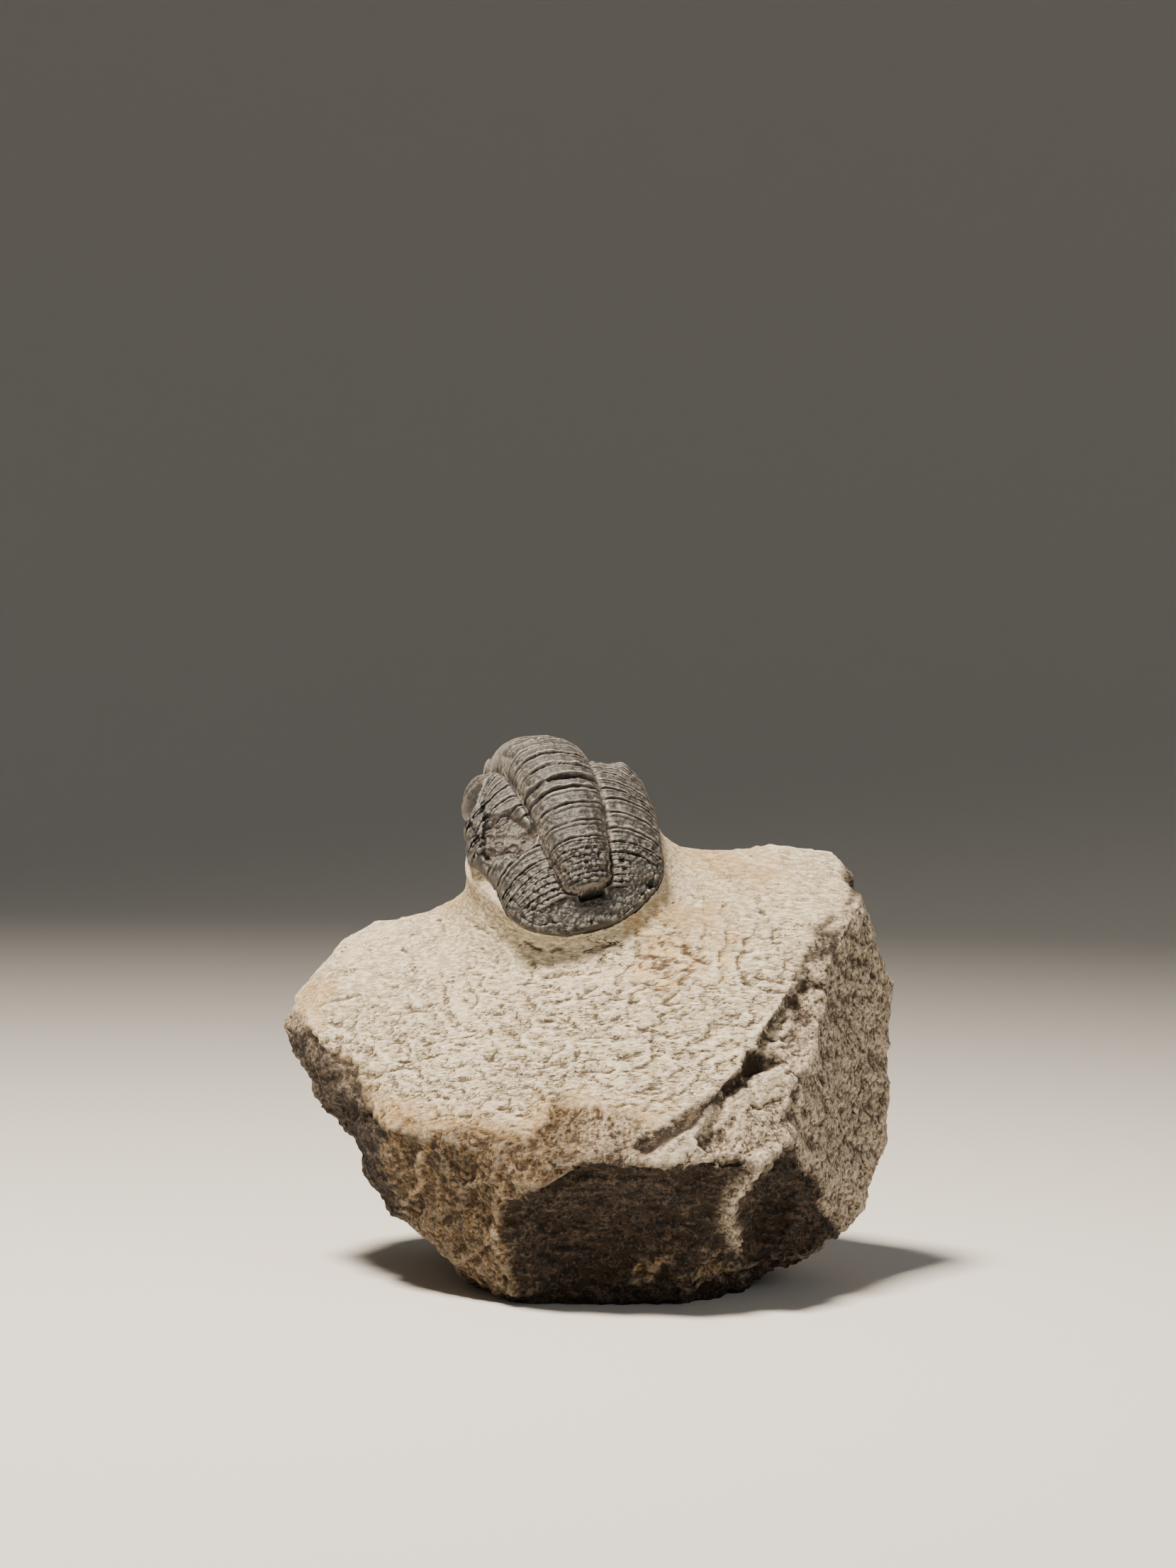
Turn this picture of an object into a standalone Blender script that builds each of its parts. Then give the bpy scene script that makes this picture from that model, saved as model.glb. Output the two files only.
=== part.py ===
"""Trilobite fossil on its block of matrix: a black, arched trilobite seated on the peak of a broken limestone.

World axes: +X to the viewer's right, +Y away from the viewer, +Z up. The origin is on the flat rest face.
Lengths below are in millimetres unless a line says otherwise.
"""

import bmesh
import bpy
import numpy as np
from mathutils import Euler, Vector, noise

MM = 0.001
SEAT_GAP = 0.3

# Trilobite: stations along its back, from the tail's margin (0) to the head's front margin.
# The ten thoracic rings lie between these edges; the tail shield is behind the first, the head before the last.
RING_EDGES = np.array((7.1, 8.4, 10.3, 12.5, 14.6, 15.9, 17.3, 18.9, 20.0, 21.2, 22.4))
HEAD_LENGTH = 12.6
TAIL_LENGTH = RING_EDGES[0]
THORAX_END = RING_EDGES[-1]
BODY_LENGTH = THORAX_END + HEAD_LENGTH
TAIL_HALF_WIDTH = 11.0
BODY_HALF_WIDTH = 12.1
TAIL_AXIS_TIP = 3.1
GLABELLA_HALF_WIDTH = 7.4
EYE_HEIGHT = 1.6
SKIRT_DEPTH = 1.5
END_INSET = 0.06

# Where the trilobite sits on the rock: its tail's margin, and how it is turned there, in degrees
TAIL_POINT = np.array((1.9, -9.6, 47.5))
BODY_ROLL = 14.2
BODY_YAW = 9.3
HEAD_TWIST = 7.0

# The body's arch: its slope in degrees above the horizontal at stations along the back
ARCH_STATIONS = (0.0, 8.0, 14.0, 19.0, 24.0, 29.0, 35.0)
ARCH_SLOPES = (68.0, 58.0, 52.0, 32.0, -3.0, -22.0, -58.0)

# Rock: corners of the broken block. The front rows follow the outline and the edges in the photograph.
SKYLINE = (
    (-39.8, 2, 31.8), (-38.3, 4, 35.2), (-32.2, 8, 43.6), (-24.5, 9, 48.2), (-19, 8, 50.4),
    (15.2, 6, 58.6), (24, 9, 57.4), (33.6, 9, 56.8), (36.6, 8, 53.8), (40.9, 8, 43.5),
)
RIGHT_PROFILE = ((42.0, 8, 34.3), (41.8, 8, 26), (41.1, 7, 16.3), (37.9, 5, 10.9), (36.6, 2, 6.2), (32.4, -10, 14.5))
LOWER_LEFT = ((-34.4, -1, 23.9), (-29.4, -6, 17.2), (-24.2, -12, 11.2), (-17.0, -18, 6.0), (-10.4, -23, 3.4), (-7.8, -24, 2.0))
FACE_RIM = (
    (-35.6, -4.5, 32.8), (-29.8, -11, 29.2), (-26, -19, 21.2), (-17.7, -25, 21.4), (-9.5, -31, 19.9), (-4.9, -32.5, 15.0),
    (1.9, -35, 19.4), (8.8, -35, 19.1), (17.2, -32, 19.9), (22.6, -28, 19.1), (27.6, -20, 33.5), (34.1, -4.5, 46.6),
    (36.6, -0.5, 50),
)
BACK = (
    (-33, 19, 31), (-24, 25, 38), (-8, 30, 45), (9, 31, 46), (25, 27, 45), (35, 20, 42), (39, 17, 29), (36, 22, 20),
    (22, 28, 12), (4, 31, 11), (-12, 28, 9), (-25, 20, 12), (-31, 12, 19),
)
FOOT = ((-7, -18), (4.5, -20), (14.1, -18.5), (17, -15), (18.5, -6), (19, 5), (16, 14), (7, 20), (-7, 17), (-11, 7), (-10.5, -8))
FOOT_BELOW = 1.5

# The right foot of the light slope broke away along a step: its two ends, its reach to the right, and its depth
LEDGE_ENDS = ((14.2, -31.5, 22.8), (29.0, -11.5, 42.6))
LEDGE_REACH = (21.0, -1.5, -13.0)
LEDGE_DEPTH = 2.6
SLOPE_NORMAL = (-0.04, -0.73, 0.68)
PEAK = (-4.0, 2.0, 60.0)

# Shell-shaped flakes off the block: name, centre, half sizes and turn in degrees
BITES = (
    ("front_scoop", (6.5, -37.5, 4.5), (16.5, 16.5, 12.5), (-10, 0, 0)),
    ("fin_notch", (27.0, -19.0, 7.0), (6.5, 9.0, 7.5), (0, 0, 30)),
    ("back_flake", (-22.0, 33.0, 21.0), (15.0, 8.0, 17.0), (0, 0, 20)),
    ("back_chip", (30.0, 30.0, 22.0), (12.0, 7.0, 10.0), (0, 0, -25)),
)
VOXEL = 2.8

# How far the rock's peak flares outside the fossil's margin, and how far below it
MOUND_FLARE = ((0.7, 0.1), (0.9, 4.0), (2.0, 9.0))

BLACK_SHELL = (0.045, 0.045, 0.043)
PALE_LIMESTONE = (0.56, 0.52, 0.46)


def clear_scene():
    for obj in list(bpy.data.objects):
        bpy.data.objects.remove(obj, do_unlink=True)


def material(name, colour, roughness):
    mat = bpy.data.materials.new(name)
    mat.use_nodes = True
    shader = mat.node_tree.nodes["Principled BSDF"]
    shader.inputs["Base Color"].default_value = (*colour, 1.0)
    shader.inputs["Roughness"].default_value = roughness
    shader.inputs["Metallic"].default_value = 0.0
    return mat


def add_object(name, mesh, mat=None):
    obj = bpy.data.objects.new(name, mesh)
    bpy.context.scene.collection.objects.link(obj)
    if mat is not None:
        mesh.materials.append(mat)
    return obj


def as_cutter(obj):
    obj.hide_render = True
    obj.display_type = "WIRE"
    return obj


def mesh_from(bm, name):
    mesh = bpy.data.meshes.new(name)
    bm.to_mesh(mesh)
    bm.free()
    return mesh


def rounded_end(along, power):
    """1 at along = 0, closing to 0 at along = 1 as a superellipse does."""
    return (1 - np.clip(along, 0, 1) ** power) ** (1 / power)


def half_width(s):
    """Half the width of the body at s."""
    middle = np.interp(s, (7.1, 13.0, 19.0, 23.0), (TAIL_HALF_WIDTH, BODY_HALF_WIDTH, BODY_HALF_WIDTH, 11.9))
    tail = rounded_end((TAIL_LENGTH - s) / TAIL_LENGTH, 3.0)
    head = rounded_end((s - 24.0) / (BODY_LENGTH - 24.0), 2.3)
    return middle * tail * head


def axis_half_width(s):
    """Half the width of the raised middle lobe: the tail's axis, the rings, then the glabella."""
    stations = (5.0, 7.1, 14.0, 19.5, 22.4, 23.8, 24.8, 27.5, 30.0)
    widths = (3.3, 3.8, 4.85, 5.4, 5.9, 6.6, 6.3, GLABELLA_HALF_WIDTH, 6.7)
    tip = rounded_end((5.0 - s) / (5.0 - TAIL_AXIS_TIP), 2.4)
    front = rounded_end((s - 30.0) / 4.0, 2.0)
    return np.interp(s, stations, widths) * tip * front


def axis_height(s):
    """Height of the middle lobe above the furrows beside it."""
    stations = (3.1, 4.2, 7.1, 14.0, 19.5, 22.4, 23.8, 24.8, 27.5, 31.5, 34.0)
    return np.interp(s, stations, (1.8, 2.4, 3.2, 3.6, 3.9, 3.9, 4.2, 3.7, 5.0, 3.9, 1.8))


def side_height(s):
    """Height of the furrows and of the side lobes' inner edges above the margin."""
    stations = (0.0, 1.0, 2.2, 4.0, 7.1, 13.0, 19.0, 23.0, 27.0, 31.5, 34.2, 35.0)
    return np.interp(s, stations, (0.9, 1.1, 1.5, 2.2, 3.2, 4.3, 4.5, 4.4, 4.0, 2.4, 1.0, 0.7))


def sweep_back(r):
    """How far a rib's outer end lies behind its inner end."""
    return np.interp(r, (0, 2.0, 7.1, 24.0, 30.0, 35.0), (0, 0.9, 2.6, 2.8, 1.0, 0))


def ring_relief(turn):
    """One ring from its rear edge (0) forward: slot, lip, band, furrow and the half ring under the next lip."""
    stations = (0.0, 0.08, 0.16, 0.3, 0.56, 0.68, 0.82, 1.0)
    return np.interp(turn, stations, (-0.45, -0.3, 0.3, 0.32, 0.16, -0.12, 0.02, -0.45))


def rib_relief(turn):
    """One rib from its rear edge forward: groove, rear band, pleural furrow and front band."""
    stations = (0.0, 0.16, 0.34, 0.52, 0.72, 0.9, 1.0)
    return np.interp(turn, stations, (-0.3, 0.16, 0.16, -0.14, 0.12, 0.04, -0.3))


def relief(r, on_axis, out):
    """Height that rings and ribs add at row r; out runs from 0 to 1 across a side lobe."""
    turn = np.interp(r, RING_EDGES, range(len(RING_EDGES)))
    in_thorax = (r > TAIL_LENGTH - 0.01) & (r < THORAX_END + 0.01)
    inner_fade = np.clip(out * 8, 0, 1)
    rings = ring_relief(np.mod(turn, 1)) * in_thorax
    ribs = rib_relief(np.mod(turn, 1)) * inner_fade * np.clip((1 - out) * 5, 0, 1) * in_thorax
    tail_turn = np.interp(r, (3.2, 3.6, 4.05, 4.55, 5.1, 5.7, 6.35, 7.1), range(8))
    in_tail = (r > 3.2) & (r < TAIL_LENGTH)
    tail_rings = 0.5 * ring_relief(np.mod(tail_turn, 1)) * in_tail
    tail_rib_turn = np.interp(r, (3.2, 3.8, 4.5, 5.3, 6.15, 7.1), range(6))
    tail_fade = inner_fade * np.clip((0.82 - out) * 6, 0, 1)
    tail_ribs = 0.8 * rib_relief(np.mod(tail_rib_turn, 1)) * tail_fade * in_tail
    return np.where(on_axis, rings + tail_rings, ribs + tail_ribs)


def back_surface(r, column):
    """s, x and height of the shell's back at row r and column; the furrows are at columns +-1, the margins at +-2."""
    out = np.clip(np.abs(column) - 1, 0, 1)
    s = r - sweep_back(r) * out**2
    width, axis = half_width(s), axis_half_width(s)
    inner = np.maximum(axis, 0.22 * width)
    reach = np.where(np.abs(column) <= 1, np.abs(column) * inner, inner + out * (width - inner))
    side = np.clip((reach - axis) / np.maximum(width - axis, 0.01), 0, 1)
    shoulder = (1 - 0.38 * side) * (1 - side**3.2) ** 0.6
    shield = (1 - side**1.7) ** 0.85
    tail_share = np.clip((TAIL_LENGTH + 1.5 - s) / 3.0, 0, 1)
    sides = side_height(s) * (shoulder + (shield - shoulder) * tail_share)
    arch = axis_height(s) * np.sqrt(np.clip(1 - (reach / np.maximum(axis, 0.01)) ** 2.2, 0, 1)) * (axis > 0.05)
    furrow = -0.35 * np.exp(-(((reach - axis) / 0.45) ** 2)) * (axis > 0.5)
    eye = 1 - ((s - 27.4) / 2.9) ** 2 - ((reach - 8.6) / 2.6) ** 2
    eyes = EYE_HEIGHT * np.clip(eye, 0, 1) ** 0.35
    neck_groove = -0.55 * np.exp(-(((s - 24.8) / 0.35) ** 2)) * (reach < 7)
    height = sides + arch + furrow + eyes + neck_groove + relief(r, reach < axis * 0.995, out)
    return s, np.sign(column) * reach, height


def arch_line(s):
    """Run, rise and slope of the margin's level at s."""
    fine = np.linspace(-1, BODY_LENGTH + 1, 700)
    slope = np.radians(np.interp(fine, ARCH_STATIONS, ARCH_SLOPES))
    step = fine[1] - fine[0]
    run = np.cumsum(np.cos(slope) * step)
    rise = np.cumsum(np.sin(slope) * step)
    run -= np.interp(0, fine, run)
    rise -= np.interp(0, fine, rise)
    return np.interp(s, fine, run), np.interp(s, fine, rise), np.interp(s, fine, slope)


def in_world(s, x, height):
    """World points of the body's points at s along, x across and height above the margin's level."""
    twist = -np.radians(np.interp(s, (10.0, 24.0), (0.0, HEAD_TWIST)))
    across = x * np.cos(twist) - height * np.sin(twist)
    up = x * np.sin(twist) + height * np.cos(twist)
    run, rise, slope = arch_line(s)
    away = run - np.sin(slope) * up
    high = rise + np.cos(slope) * up
    yaw, roll = np.radians(BODY_YAW), np.radians(BODY_ROLL)
    right = across * np.cos(yaw) - away * np.sin(yaw)
    deep = across * np.sin(yaw) + away * np.cos(yaw)
    turned = (np.cos(roll) * right - np.sin(roll) * high, deep, np.sin(roll) * right + np.cos(roll) * high)
    return np.stack(turned, -1) + TAIL_POINT


def with_seat_gap(s, x, height):
    """The same points moved outward by the gap between the fossil and its rock."""
    middle = BODY_LENGTH / 2
    stretched = middle + (s - middle) * (1 + SEAT_GAP / middle)
    return in_world(stretched, x + np.sign(x) * SEAT_GAP, height)


def body_rows():
    """Rows along the back: a few on each tail ring, four on each thoracic ring, and a run over the head."""
    tail = np.concatenate([(END_INSET, 0.35, 0.9, 1.5, 2.2, 2.9), np.linspace(3.3, 6.9, 13)])
    turns = np.array((0.0, 0.17, 0.5, 0.72))
    thorax = np.concatenate([a + (b - a) * turns for a, b in zip(RING_EDGES[:-1], RING_EDGES[1:])])
    head = np.concatenate([(THORAX_END, 22.8, 23.6, 24.4, 24.8, 25.3), np.linspace(26.1, 33.6, 9), (34.4, BODY_LENGTH - END_INSET)])
    return np.concatenate([tail, thorax, head])


def body_columns():
    """Columns from the left margin to the right: side lobe, furrow, middle lobe, furrow, side lobe."""
    side = np.array((1.0, 0.94, 0.82, 0.66, 0.5, 0.33, 0.12))
    middle = np.array((1.0, 0.92, 0.75, 0.5, 0.25, 0.0))
    left = np.concatenate([-1 - side, -middle])
    return np.concatenate([left, -left[-2::-1]])


def body_bmesh(columns, top_height, skirt, place):
    """A closed body: a top sheet over the body's rows, walls down to the skirt, and a floor of rungs."""
    bm = bmesh.new()
    sheet = []
    floor = []
    for r in body_rows():
        s, x, height = back_surface(np.full(len(columns), r), columns)
        if top_height is not None:
            height = np.full(len(columns), top_height)
        sheet.append([bm.verts.new(Vector(p) * MM) for p in place(s, x, height)])
        floor.append([bm.verts.new(Vector(p) * MM) for p in place(s[[0, -1]], x[[0, -1]], np.full(2, -skirt))])
    for near, far, near_floor, far_floor in zip(sheet[:-1], sheet[1:], floor[:-1], floor[1:]):
        for j in range(len(columns) - 1):
            bm.faces.new((near[j], near[j + 1], far[j + 1], far[j]))
        bm.faces.new((near_floor[0], far_floor[0], far_floor[1], near_floor[1]))
        bm.faces.new((near[0], far[0], far_floor[0], near_floor[0]))
        bm.faces.new((near[-1], near_floor[1], far_floor[1], far[-1]))
    bm.faces.new((*reversed(sheet[0]), floor[0][0], floor[0][1]))
    bm.faces.new((*sheet[-1], floor[-1][1], floor[-1][0]))
    bmesh.ops.recalc_face_normals(bm, faces=bm.faces)
    return bm


def trilobite():
    """The whole exoskeleton as one solid: tail shield, ten ringed segments, and the head with its eyes."""
    mesh = mesh_from(body_bmesh(body_columns(), None, SKIRT_DEPTH, in_world), "trilobite")
    obj = add_object("trilobite", mesh, material("fossil_shell", BLACK_SHELL, 0.55))
    mesh.shade_smooth()
    mesh.set_sharp_from_angle(angle=np.radians(35))
    return obj


def seat_cutter():
    """The recess that the trilobite sits in: its outline moved out by the seat gap, open above."""
    bm = body_bmesh(np.array((-2.0, 2.0)), 7.0, SKIRT_DEPTH + SEAT_GAP, with_seat_gap)
    return as_cutter(add_object("seat_cutter", mesh_from(bm, "seat_cutter")))


def hull_object(name, corners):
    bm = bmesh.new()
    for corner in corners:
        bm.verts.new(Vector(corner) * MM)
    hull = bmesh.ops.convex_hull(bm, input=bm.verts)
    inside = [v for v in hull["geom_interior"] if isinstance(v, bmesh.types.BMVert)]
    bmesh.ops.delete(bm, geom=inside, context="VERTS")
    bmesh.ops.recalc_face_normals(bm, faces=bm.faces)
    return add_object(name, mesh_from(bm, name))


def block():
    """The block as it was struck out of the bed."""
    foot = [(x, y, -FOOT_BELOW) for x, y in FOOT]
    return hull_object("block", [*SKYLINE, *RIGHT_PROFILE, *LOWER_LEFT, *FACE_RIM, *BACK, *foot])


def mound():
    """The peak the preparator left under the trilobite: it flares out from just below the fossil's margin."""
    points = []
    for r in np.linspace(0.3, BODY_LENGTH - 0.3, 12):
        for column in (-2.0, 2.0):
            s, x, _ = back_surface(np.array(r), np.array(column))
            points += [in_world(s, x + np.sign(column) * flare, -below) for flare, below in MOUND_FLARE]
    front, _, _ = back_surface(np.array(BODY_LENGTH), np.array(0.0))
    points += [in_world(front + 1.2, np.array(x), -1.5) for x in (-4.0, 0.0, 4.0)]
    return hull_object("mound", points)


def ledge_cutter():
    """The slab that broke off the right foot of the slope, down to the step."""
    normal = np.array(SLOPE_NORMAL) / np.linalg.norm(SLOPE_NORMAL)
    near = [np.array(end, float) for end in LEDGE_ENDS]
    far = [end + np.array(LEDGE_REACH) for end in near]
    corners = [p + normal * rise for p in (*near, *far) for rise in (9.0, -LEDGE_DEPTH)]
    return as_cutter(hull_object("right_ledge", corners))


def bite(name, centre, radii, turn):
    bm = bmesh.new()
    bmesh.ops.create_icosphere(bm, subdivisions=4, radius=1.0)
    bmesh.ops.scale(bm, vec=Vector(radii) * MM, verts=bm.verts)
    bmesh.ops.rotate(bm, matrix=Euler(np.radians(turn)).to_matrix(), verts=bm.verts)
    bmesh.ops.translate(bm, vec=Vector(centre) * MM, verts=bm.verts)
    return as_cutter(add_object(name, mesh_from(bm, name)))


def combine(obj, other, operation):
    modifier = obj.modifiers.new(other.name, "BOOLEAN")
    modifier.operation = operation
    modifier.object = other
    modifier.solver = "EXACT"


def roughen(mesh):
    """Shallow relief on the dressed slope and round the fossil, lumps where the rock broke."""
    dressed_way = Vector(SLOPE_NORMAL).normalized()
    normals = [v.normal.copy() for v in mesh.vertices]
    for vert, normal in zip(mesh.vertices, normals):
        place = vert.co / MM
        dressed = max((normal.dot(dressed_way) - 0.62) * 5, (20 - (place - Vector(PEAK)).length) / 3)
        dressed = np.clip(dressed, 0, 1)
        rough = 1.1 * noise.fractal(place / 9.0, 1.0, 2.0, 3)
        smooth = 0.35 * noise.fractal(place / 14.0, 1.0, 2.0, 2)
        vert.co += normal * (rough + (smooth - rough) * dressed) * MM


def flat_foot(mesh):
    """Cuts the rock flat at the rest face, so that it stands."""
    bm = bmesh.new()
    bm.from_mesh(mesh)
    geometry = [*bm.verts, *bm.edges, *bm.faces]
    down = {"plane_co": (0, 0, 0), "plane_no": (0, 0, 1), "clear_inner": True}
    sliced = bmesh.ops.bisect_plane(bm, geom=geometry, dist=1e-6, **down)
    rim = [e for e in sliced["geom_cut"] if isinstance(e, bmesh.types.BMEdge)]
    bmesh.ops.holes_fill(bm, edges=rim)
    bmesh.ops.recalc_face_normals(bm, faces=bm.faces)
    return mesh_from(bm, "matrix_rock")


def matrix_rock(seat):
    """The limestone: the struck block and its peak, less the flakes, with rough faces, a flat foot and the seat."""
    blank = block()
    peak = as_cutter(mound())
    combine(blank, peak, "UNION")
    combine(blank, ledge_cutter(), "DIFFERENCE")
    for name, centre, radii, turn in BITES:
        combine(blank, bite(name, centre, radii, turn), "DIFFERENCE")
    remesh = blank.modifiers.new("even_mesh", "REMESH")
    remesh.mode = "VOXEL"
    remesh.voxel_size = VOXEL * MM
    even = blank.modifiers.new("even_facets", "SMOOTH")
    even.factor = 0.5
    even.iterations = 1
    graph = bpy.context.evaluated_depsgraph_get()
    mesh = bpy.data.meshes.new_from_object(blank.evaluated_get(graph))
    bpy.data.objects.remove(blank, do_unlink=True)
    roughen(mesh)
    rock = add_object("matrix_rock", flat_foot(mesh), material("limestone", PALE_LIMESTONE, 0.9))
    combine(rock, seat, "DIFFERENCE")
    return rock


clear_scene()
trilobite()
matrix_rock(seat_cutter())
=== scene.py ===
from itertools import product

import bpy
import numpy as np
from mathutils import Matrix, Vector, noise
from mathutils.bvhtree import BVHTree
from mathutils.kdtree import KDTree


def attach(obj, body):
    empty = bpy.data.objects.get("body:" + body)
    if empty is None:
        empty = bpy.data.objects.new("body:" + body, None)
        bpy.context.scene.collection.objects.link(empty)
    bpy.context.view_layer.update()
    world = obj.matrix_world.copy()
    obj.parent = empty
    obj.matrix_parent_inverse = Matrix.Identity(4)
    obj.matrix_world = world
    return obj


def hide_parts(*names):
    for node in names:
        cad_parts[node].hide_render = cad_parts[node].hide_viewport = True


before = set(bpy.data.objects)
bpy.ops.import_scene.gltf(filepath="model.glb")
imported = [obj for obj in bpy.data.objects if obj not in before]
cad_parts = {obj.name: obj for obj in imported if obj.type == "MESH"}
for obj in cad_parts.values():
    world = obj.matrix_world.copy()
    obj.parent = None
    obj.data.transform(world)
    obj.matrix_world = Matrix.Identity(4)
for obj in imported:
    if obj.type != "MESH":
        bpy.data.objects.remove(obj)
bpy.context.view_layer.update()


# The trilobite: the animal's own armour, turned to dark calcite, one shell of overlapping plates. Ten rings and
# their ribs lie between the tail shield and the head. The preparator cut it free with an air scribe, which left
# pale rock dust in its furrows; on its left side plates had broken away.

MM = 0.001
RING_EDGES = np.array((7.1, 8.4, 10.3, 12.5, 14.6, 15.9, 17.3, 18.9, 20.0, 21.2, 22.4))
SLOT_DEPTHS = np.array((0.6, 0.6, 0.35, 0.5, 0.75, 1.15, 0.75, 0.65, 0.4, 0.3, 0.25))
SLOT_WIDTHS = np.array((0.17, 0.17, 0.12, 0.16, 0.24, 0.38, 0.22, 0.2, 0.13, 0.12, 0.12))
TAIL_EDGES = np.array((3.2, 3.6, 4.05, 4.55, 5.1, 5.7, 6.35, 7.1))
TAIL_RIB_EDGES = np.array((3.2, 3.8, 4.5, 5.3, 6.15, 7.1))
TAIL_LENGTH = RING_EDGES[0]
THORAX_END = RING_EDGES[-1]
BODY_LENGTH = 35.0
TAIL_POINT = np.array((1.9, -9.6, 47.5))
BODY_ROLL, BODY_YAW, HEAD_TWIST = np.radians((14.2, 9.3, 7.0))
ARCH_STATIONS = (0.0, 8.0, 14.0, 19.0, 24.0, 29.0, 35.0)
ARCH_SLOPES = (68.0, 58.0, 52.0, 32.0, -3.0, -22.0, -58.0)
TAIL_AXIS_END = 3.1
NECK_FURROW = 24.8
EYE_AT, EYE_RADII = (27.4, 8.6), (2.9, 2.6)
HOLLOW_AT, HOLLOW_RADII = (12.7, -8.1), (2.0, 2.3)
TAIL_PIT_AT = (3.1, 8.1)
FINE_LINE_SPACING = 0.36


def rounded_end(along, power):
    """1 at along = 0, closing to 0 at along = 1 as a superellipse does."""
    return (1 - np.clip(along, 0, 1) ** power) ** (1 / power)


def bell(distance, width):
    """1 at the middle, fading out over about the width."""
    return np.exp(-((distance / width) ** 2))


def half_width(s, right):
    """Half the width of the body, in mm, at s mm from the tail's margin, on its right or left side."""
    middle = np.interp(s, (7.1, 13.0, 19.0, 23.0), (11.0, 12.1, 12.1, 11.9))
    tail = rounded_end((TAIL_LENGTH - s) / TAIL_LENGTH, np.where(right, 2.2, 3.0))
    cheek = np.where(right, 0.5 * bell(s - 21.0, 2.0), -1.5 * bell(s - 21.5, 3.0))
    return (middle + cheek) * tail * rounded_end((s - 24.0) / 11.0, 2.3)


def axis_half_width(s):
    """Half the width of the raised middle lobe: the tail's axis, the rings, then the glabella."""
    stations = (5.0, 7.1, 14.0, 19.5, 22.4, 23.8, 24.8, 27.5, 30.0)
    widths = (3.3, 3.8, 4.85, 5.4, 5.9, 6.6, 6.3, 7.4, 6.7)
    return np.interp(s, stations, widths) * rounded_end((5.0 - s) / 1.9, 2.4) * rounded_end((s - 30.0) / 4.0, 2.0)


def arch_line(s):
    """Run, rise and slope of the margin's level at s."""
    fine = np.linspace(-1, BODY_LENGTH + 1, 700)
    slope = np.radians(np.interp(fine, ARCH_STATIONS, ARCH_SLOPES))
    step = fine[1] - fine[0]
    run = np.cumsum(np.cos(slope) * step)
    rise = np.cumsum(np.sin(slope) * step)
    run -= np.interp(0, fine, run)
    rise -= np.interp(0, fine, rise)
    return np.interp(s, fine, run), np.interp(s, fine, rise), np.interp(s, fine, slope)


def on_the_rock(s, x, height):
    """Where a point of the body lies: s along it, x across it and height above its margin's level, all in mm."""
    s = s - 0.9 * np.clip(1 - s / 2.5, 0, 1) ** 2
    twist = -HEAD_TWIST * np.interp(s, (10.0, 24.0), (0.0, 1.0))
    across = x * np.cos(twist) - height * np.sin(twist)
    up = x * np.sin(twist) + height * np.cos(twist)
    run, rise, slope = arch_line(s)
    away = run - np.sin(slope) * up
    high = rise + np.cos(slope) * up
    right = across * np.cos(BODY_YAW) - away * np.sin(BODY_YAW)
    deep = across * np.sin(BODY_YAW) + away * np.cos(BODY_YAW)
    turned = (
        np.cos(BODY_ROLL) * right - np.sin(BODY_ROLL) * high,
        deep,
        np.sin(BODY_ROLL) * right + np.cos(BODY_ROLL) * high,
    )
    return np.stack(turned, -1) + TAIL_POINT


def fractal(places, size, octaves=3, shift=0.0):
    """Smooth unevenness, about -1 to 1, at points in mm; its widest lumps are about this size in mm."""
    flat = (places / size + shift).reshape(-1, 3)
    values = [noise.fractal(Vector(p), 1.0, 2.0, octaves) for p in flat]
    return np.array(values).reshape(places.shape[:-1])


def scatter(cells, seed):
    """Three numbers between 0 and 1 for each whole-numbered cell, always the same ones."""
    mixed = cells @ np.array(((127.1, 269.5, 113.5), (311.7, 183.3, 271.9), (74.7, 246.1, 124.6))) + seed * 17.31
    return np.modf(np.abs(np.sin(mixed)) * 43758.5453)[0]


def grains(places, size, seed):
    """For points in mm: how near the middle of a grain (1) or its edge (0), the grain's own tilt, and a number."""
    grid = places / size
    corner = np.floor(grid)
    nearest = np.full(len(grid), 9.0)
    second = np.full(len(grid), 9.0)
    tilt = np.zeros(len(grid))
    number = np.zeros(len(grid))
    for step in product((-1, 0, 1), repeat=3):
        cell = corner + step
        away = grid - cell - scatter(cell, seed)
        far = np.sqrt((away**2).sum(1))
        own = scatter(cell, seed + 5)
        near = far < nearest
        second = np.where(near, nearest, np.minimum(second, far))
        nearest = np.where(near, far, nearest)
        tilt = np.where(near, (away * (own - 0.5)).sum(1), tilt)
        number = np.where(near, own[:, 0], number)
    return np.clip(second - nearest, 0, 1), tilt, number


def plate_relief(at, edges, depths, widths, lip):
    """Overlapping plates with these rear edges: each has a sharp lip, sinks forward, and dives under the next."""
    which = np.clip(np.searchsorted(edges, at, side="right") - 1, 0, len(edges) - 2)
    ahead = at - edges[which]
    turn = np.clip(ahead / (edges[which + 1] - edges[which]), 0, 1)
    height = lip * (1 - 0.7 * turn) * np.clip(ahead / 0.06, 0, 1)
    height += 0.35 * lip * (bell(turn - 0.82, 0.1) - 1.3 * bell(turn - 0.64, 0.05) - 0.5 * bell(turn - 0.3, 0.05))
    for edge, depth, width in zip(edges, depths, widths):
        gap = at - edge
        height = height - depth * bell(gap, np.where(gap > 0, 0.05, width))
    return height * (at > edges[0] - 0.5) * (at < edges[-1] + 0.4)


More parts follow.
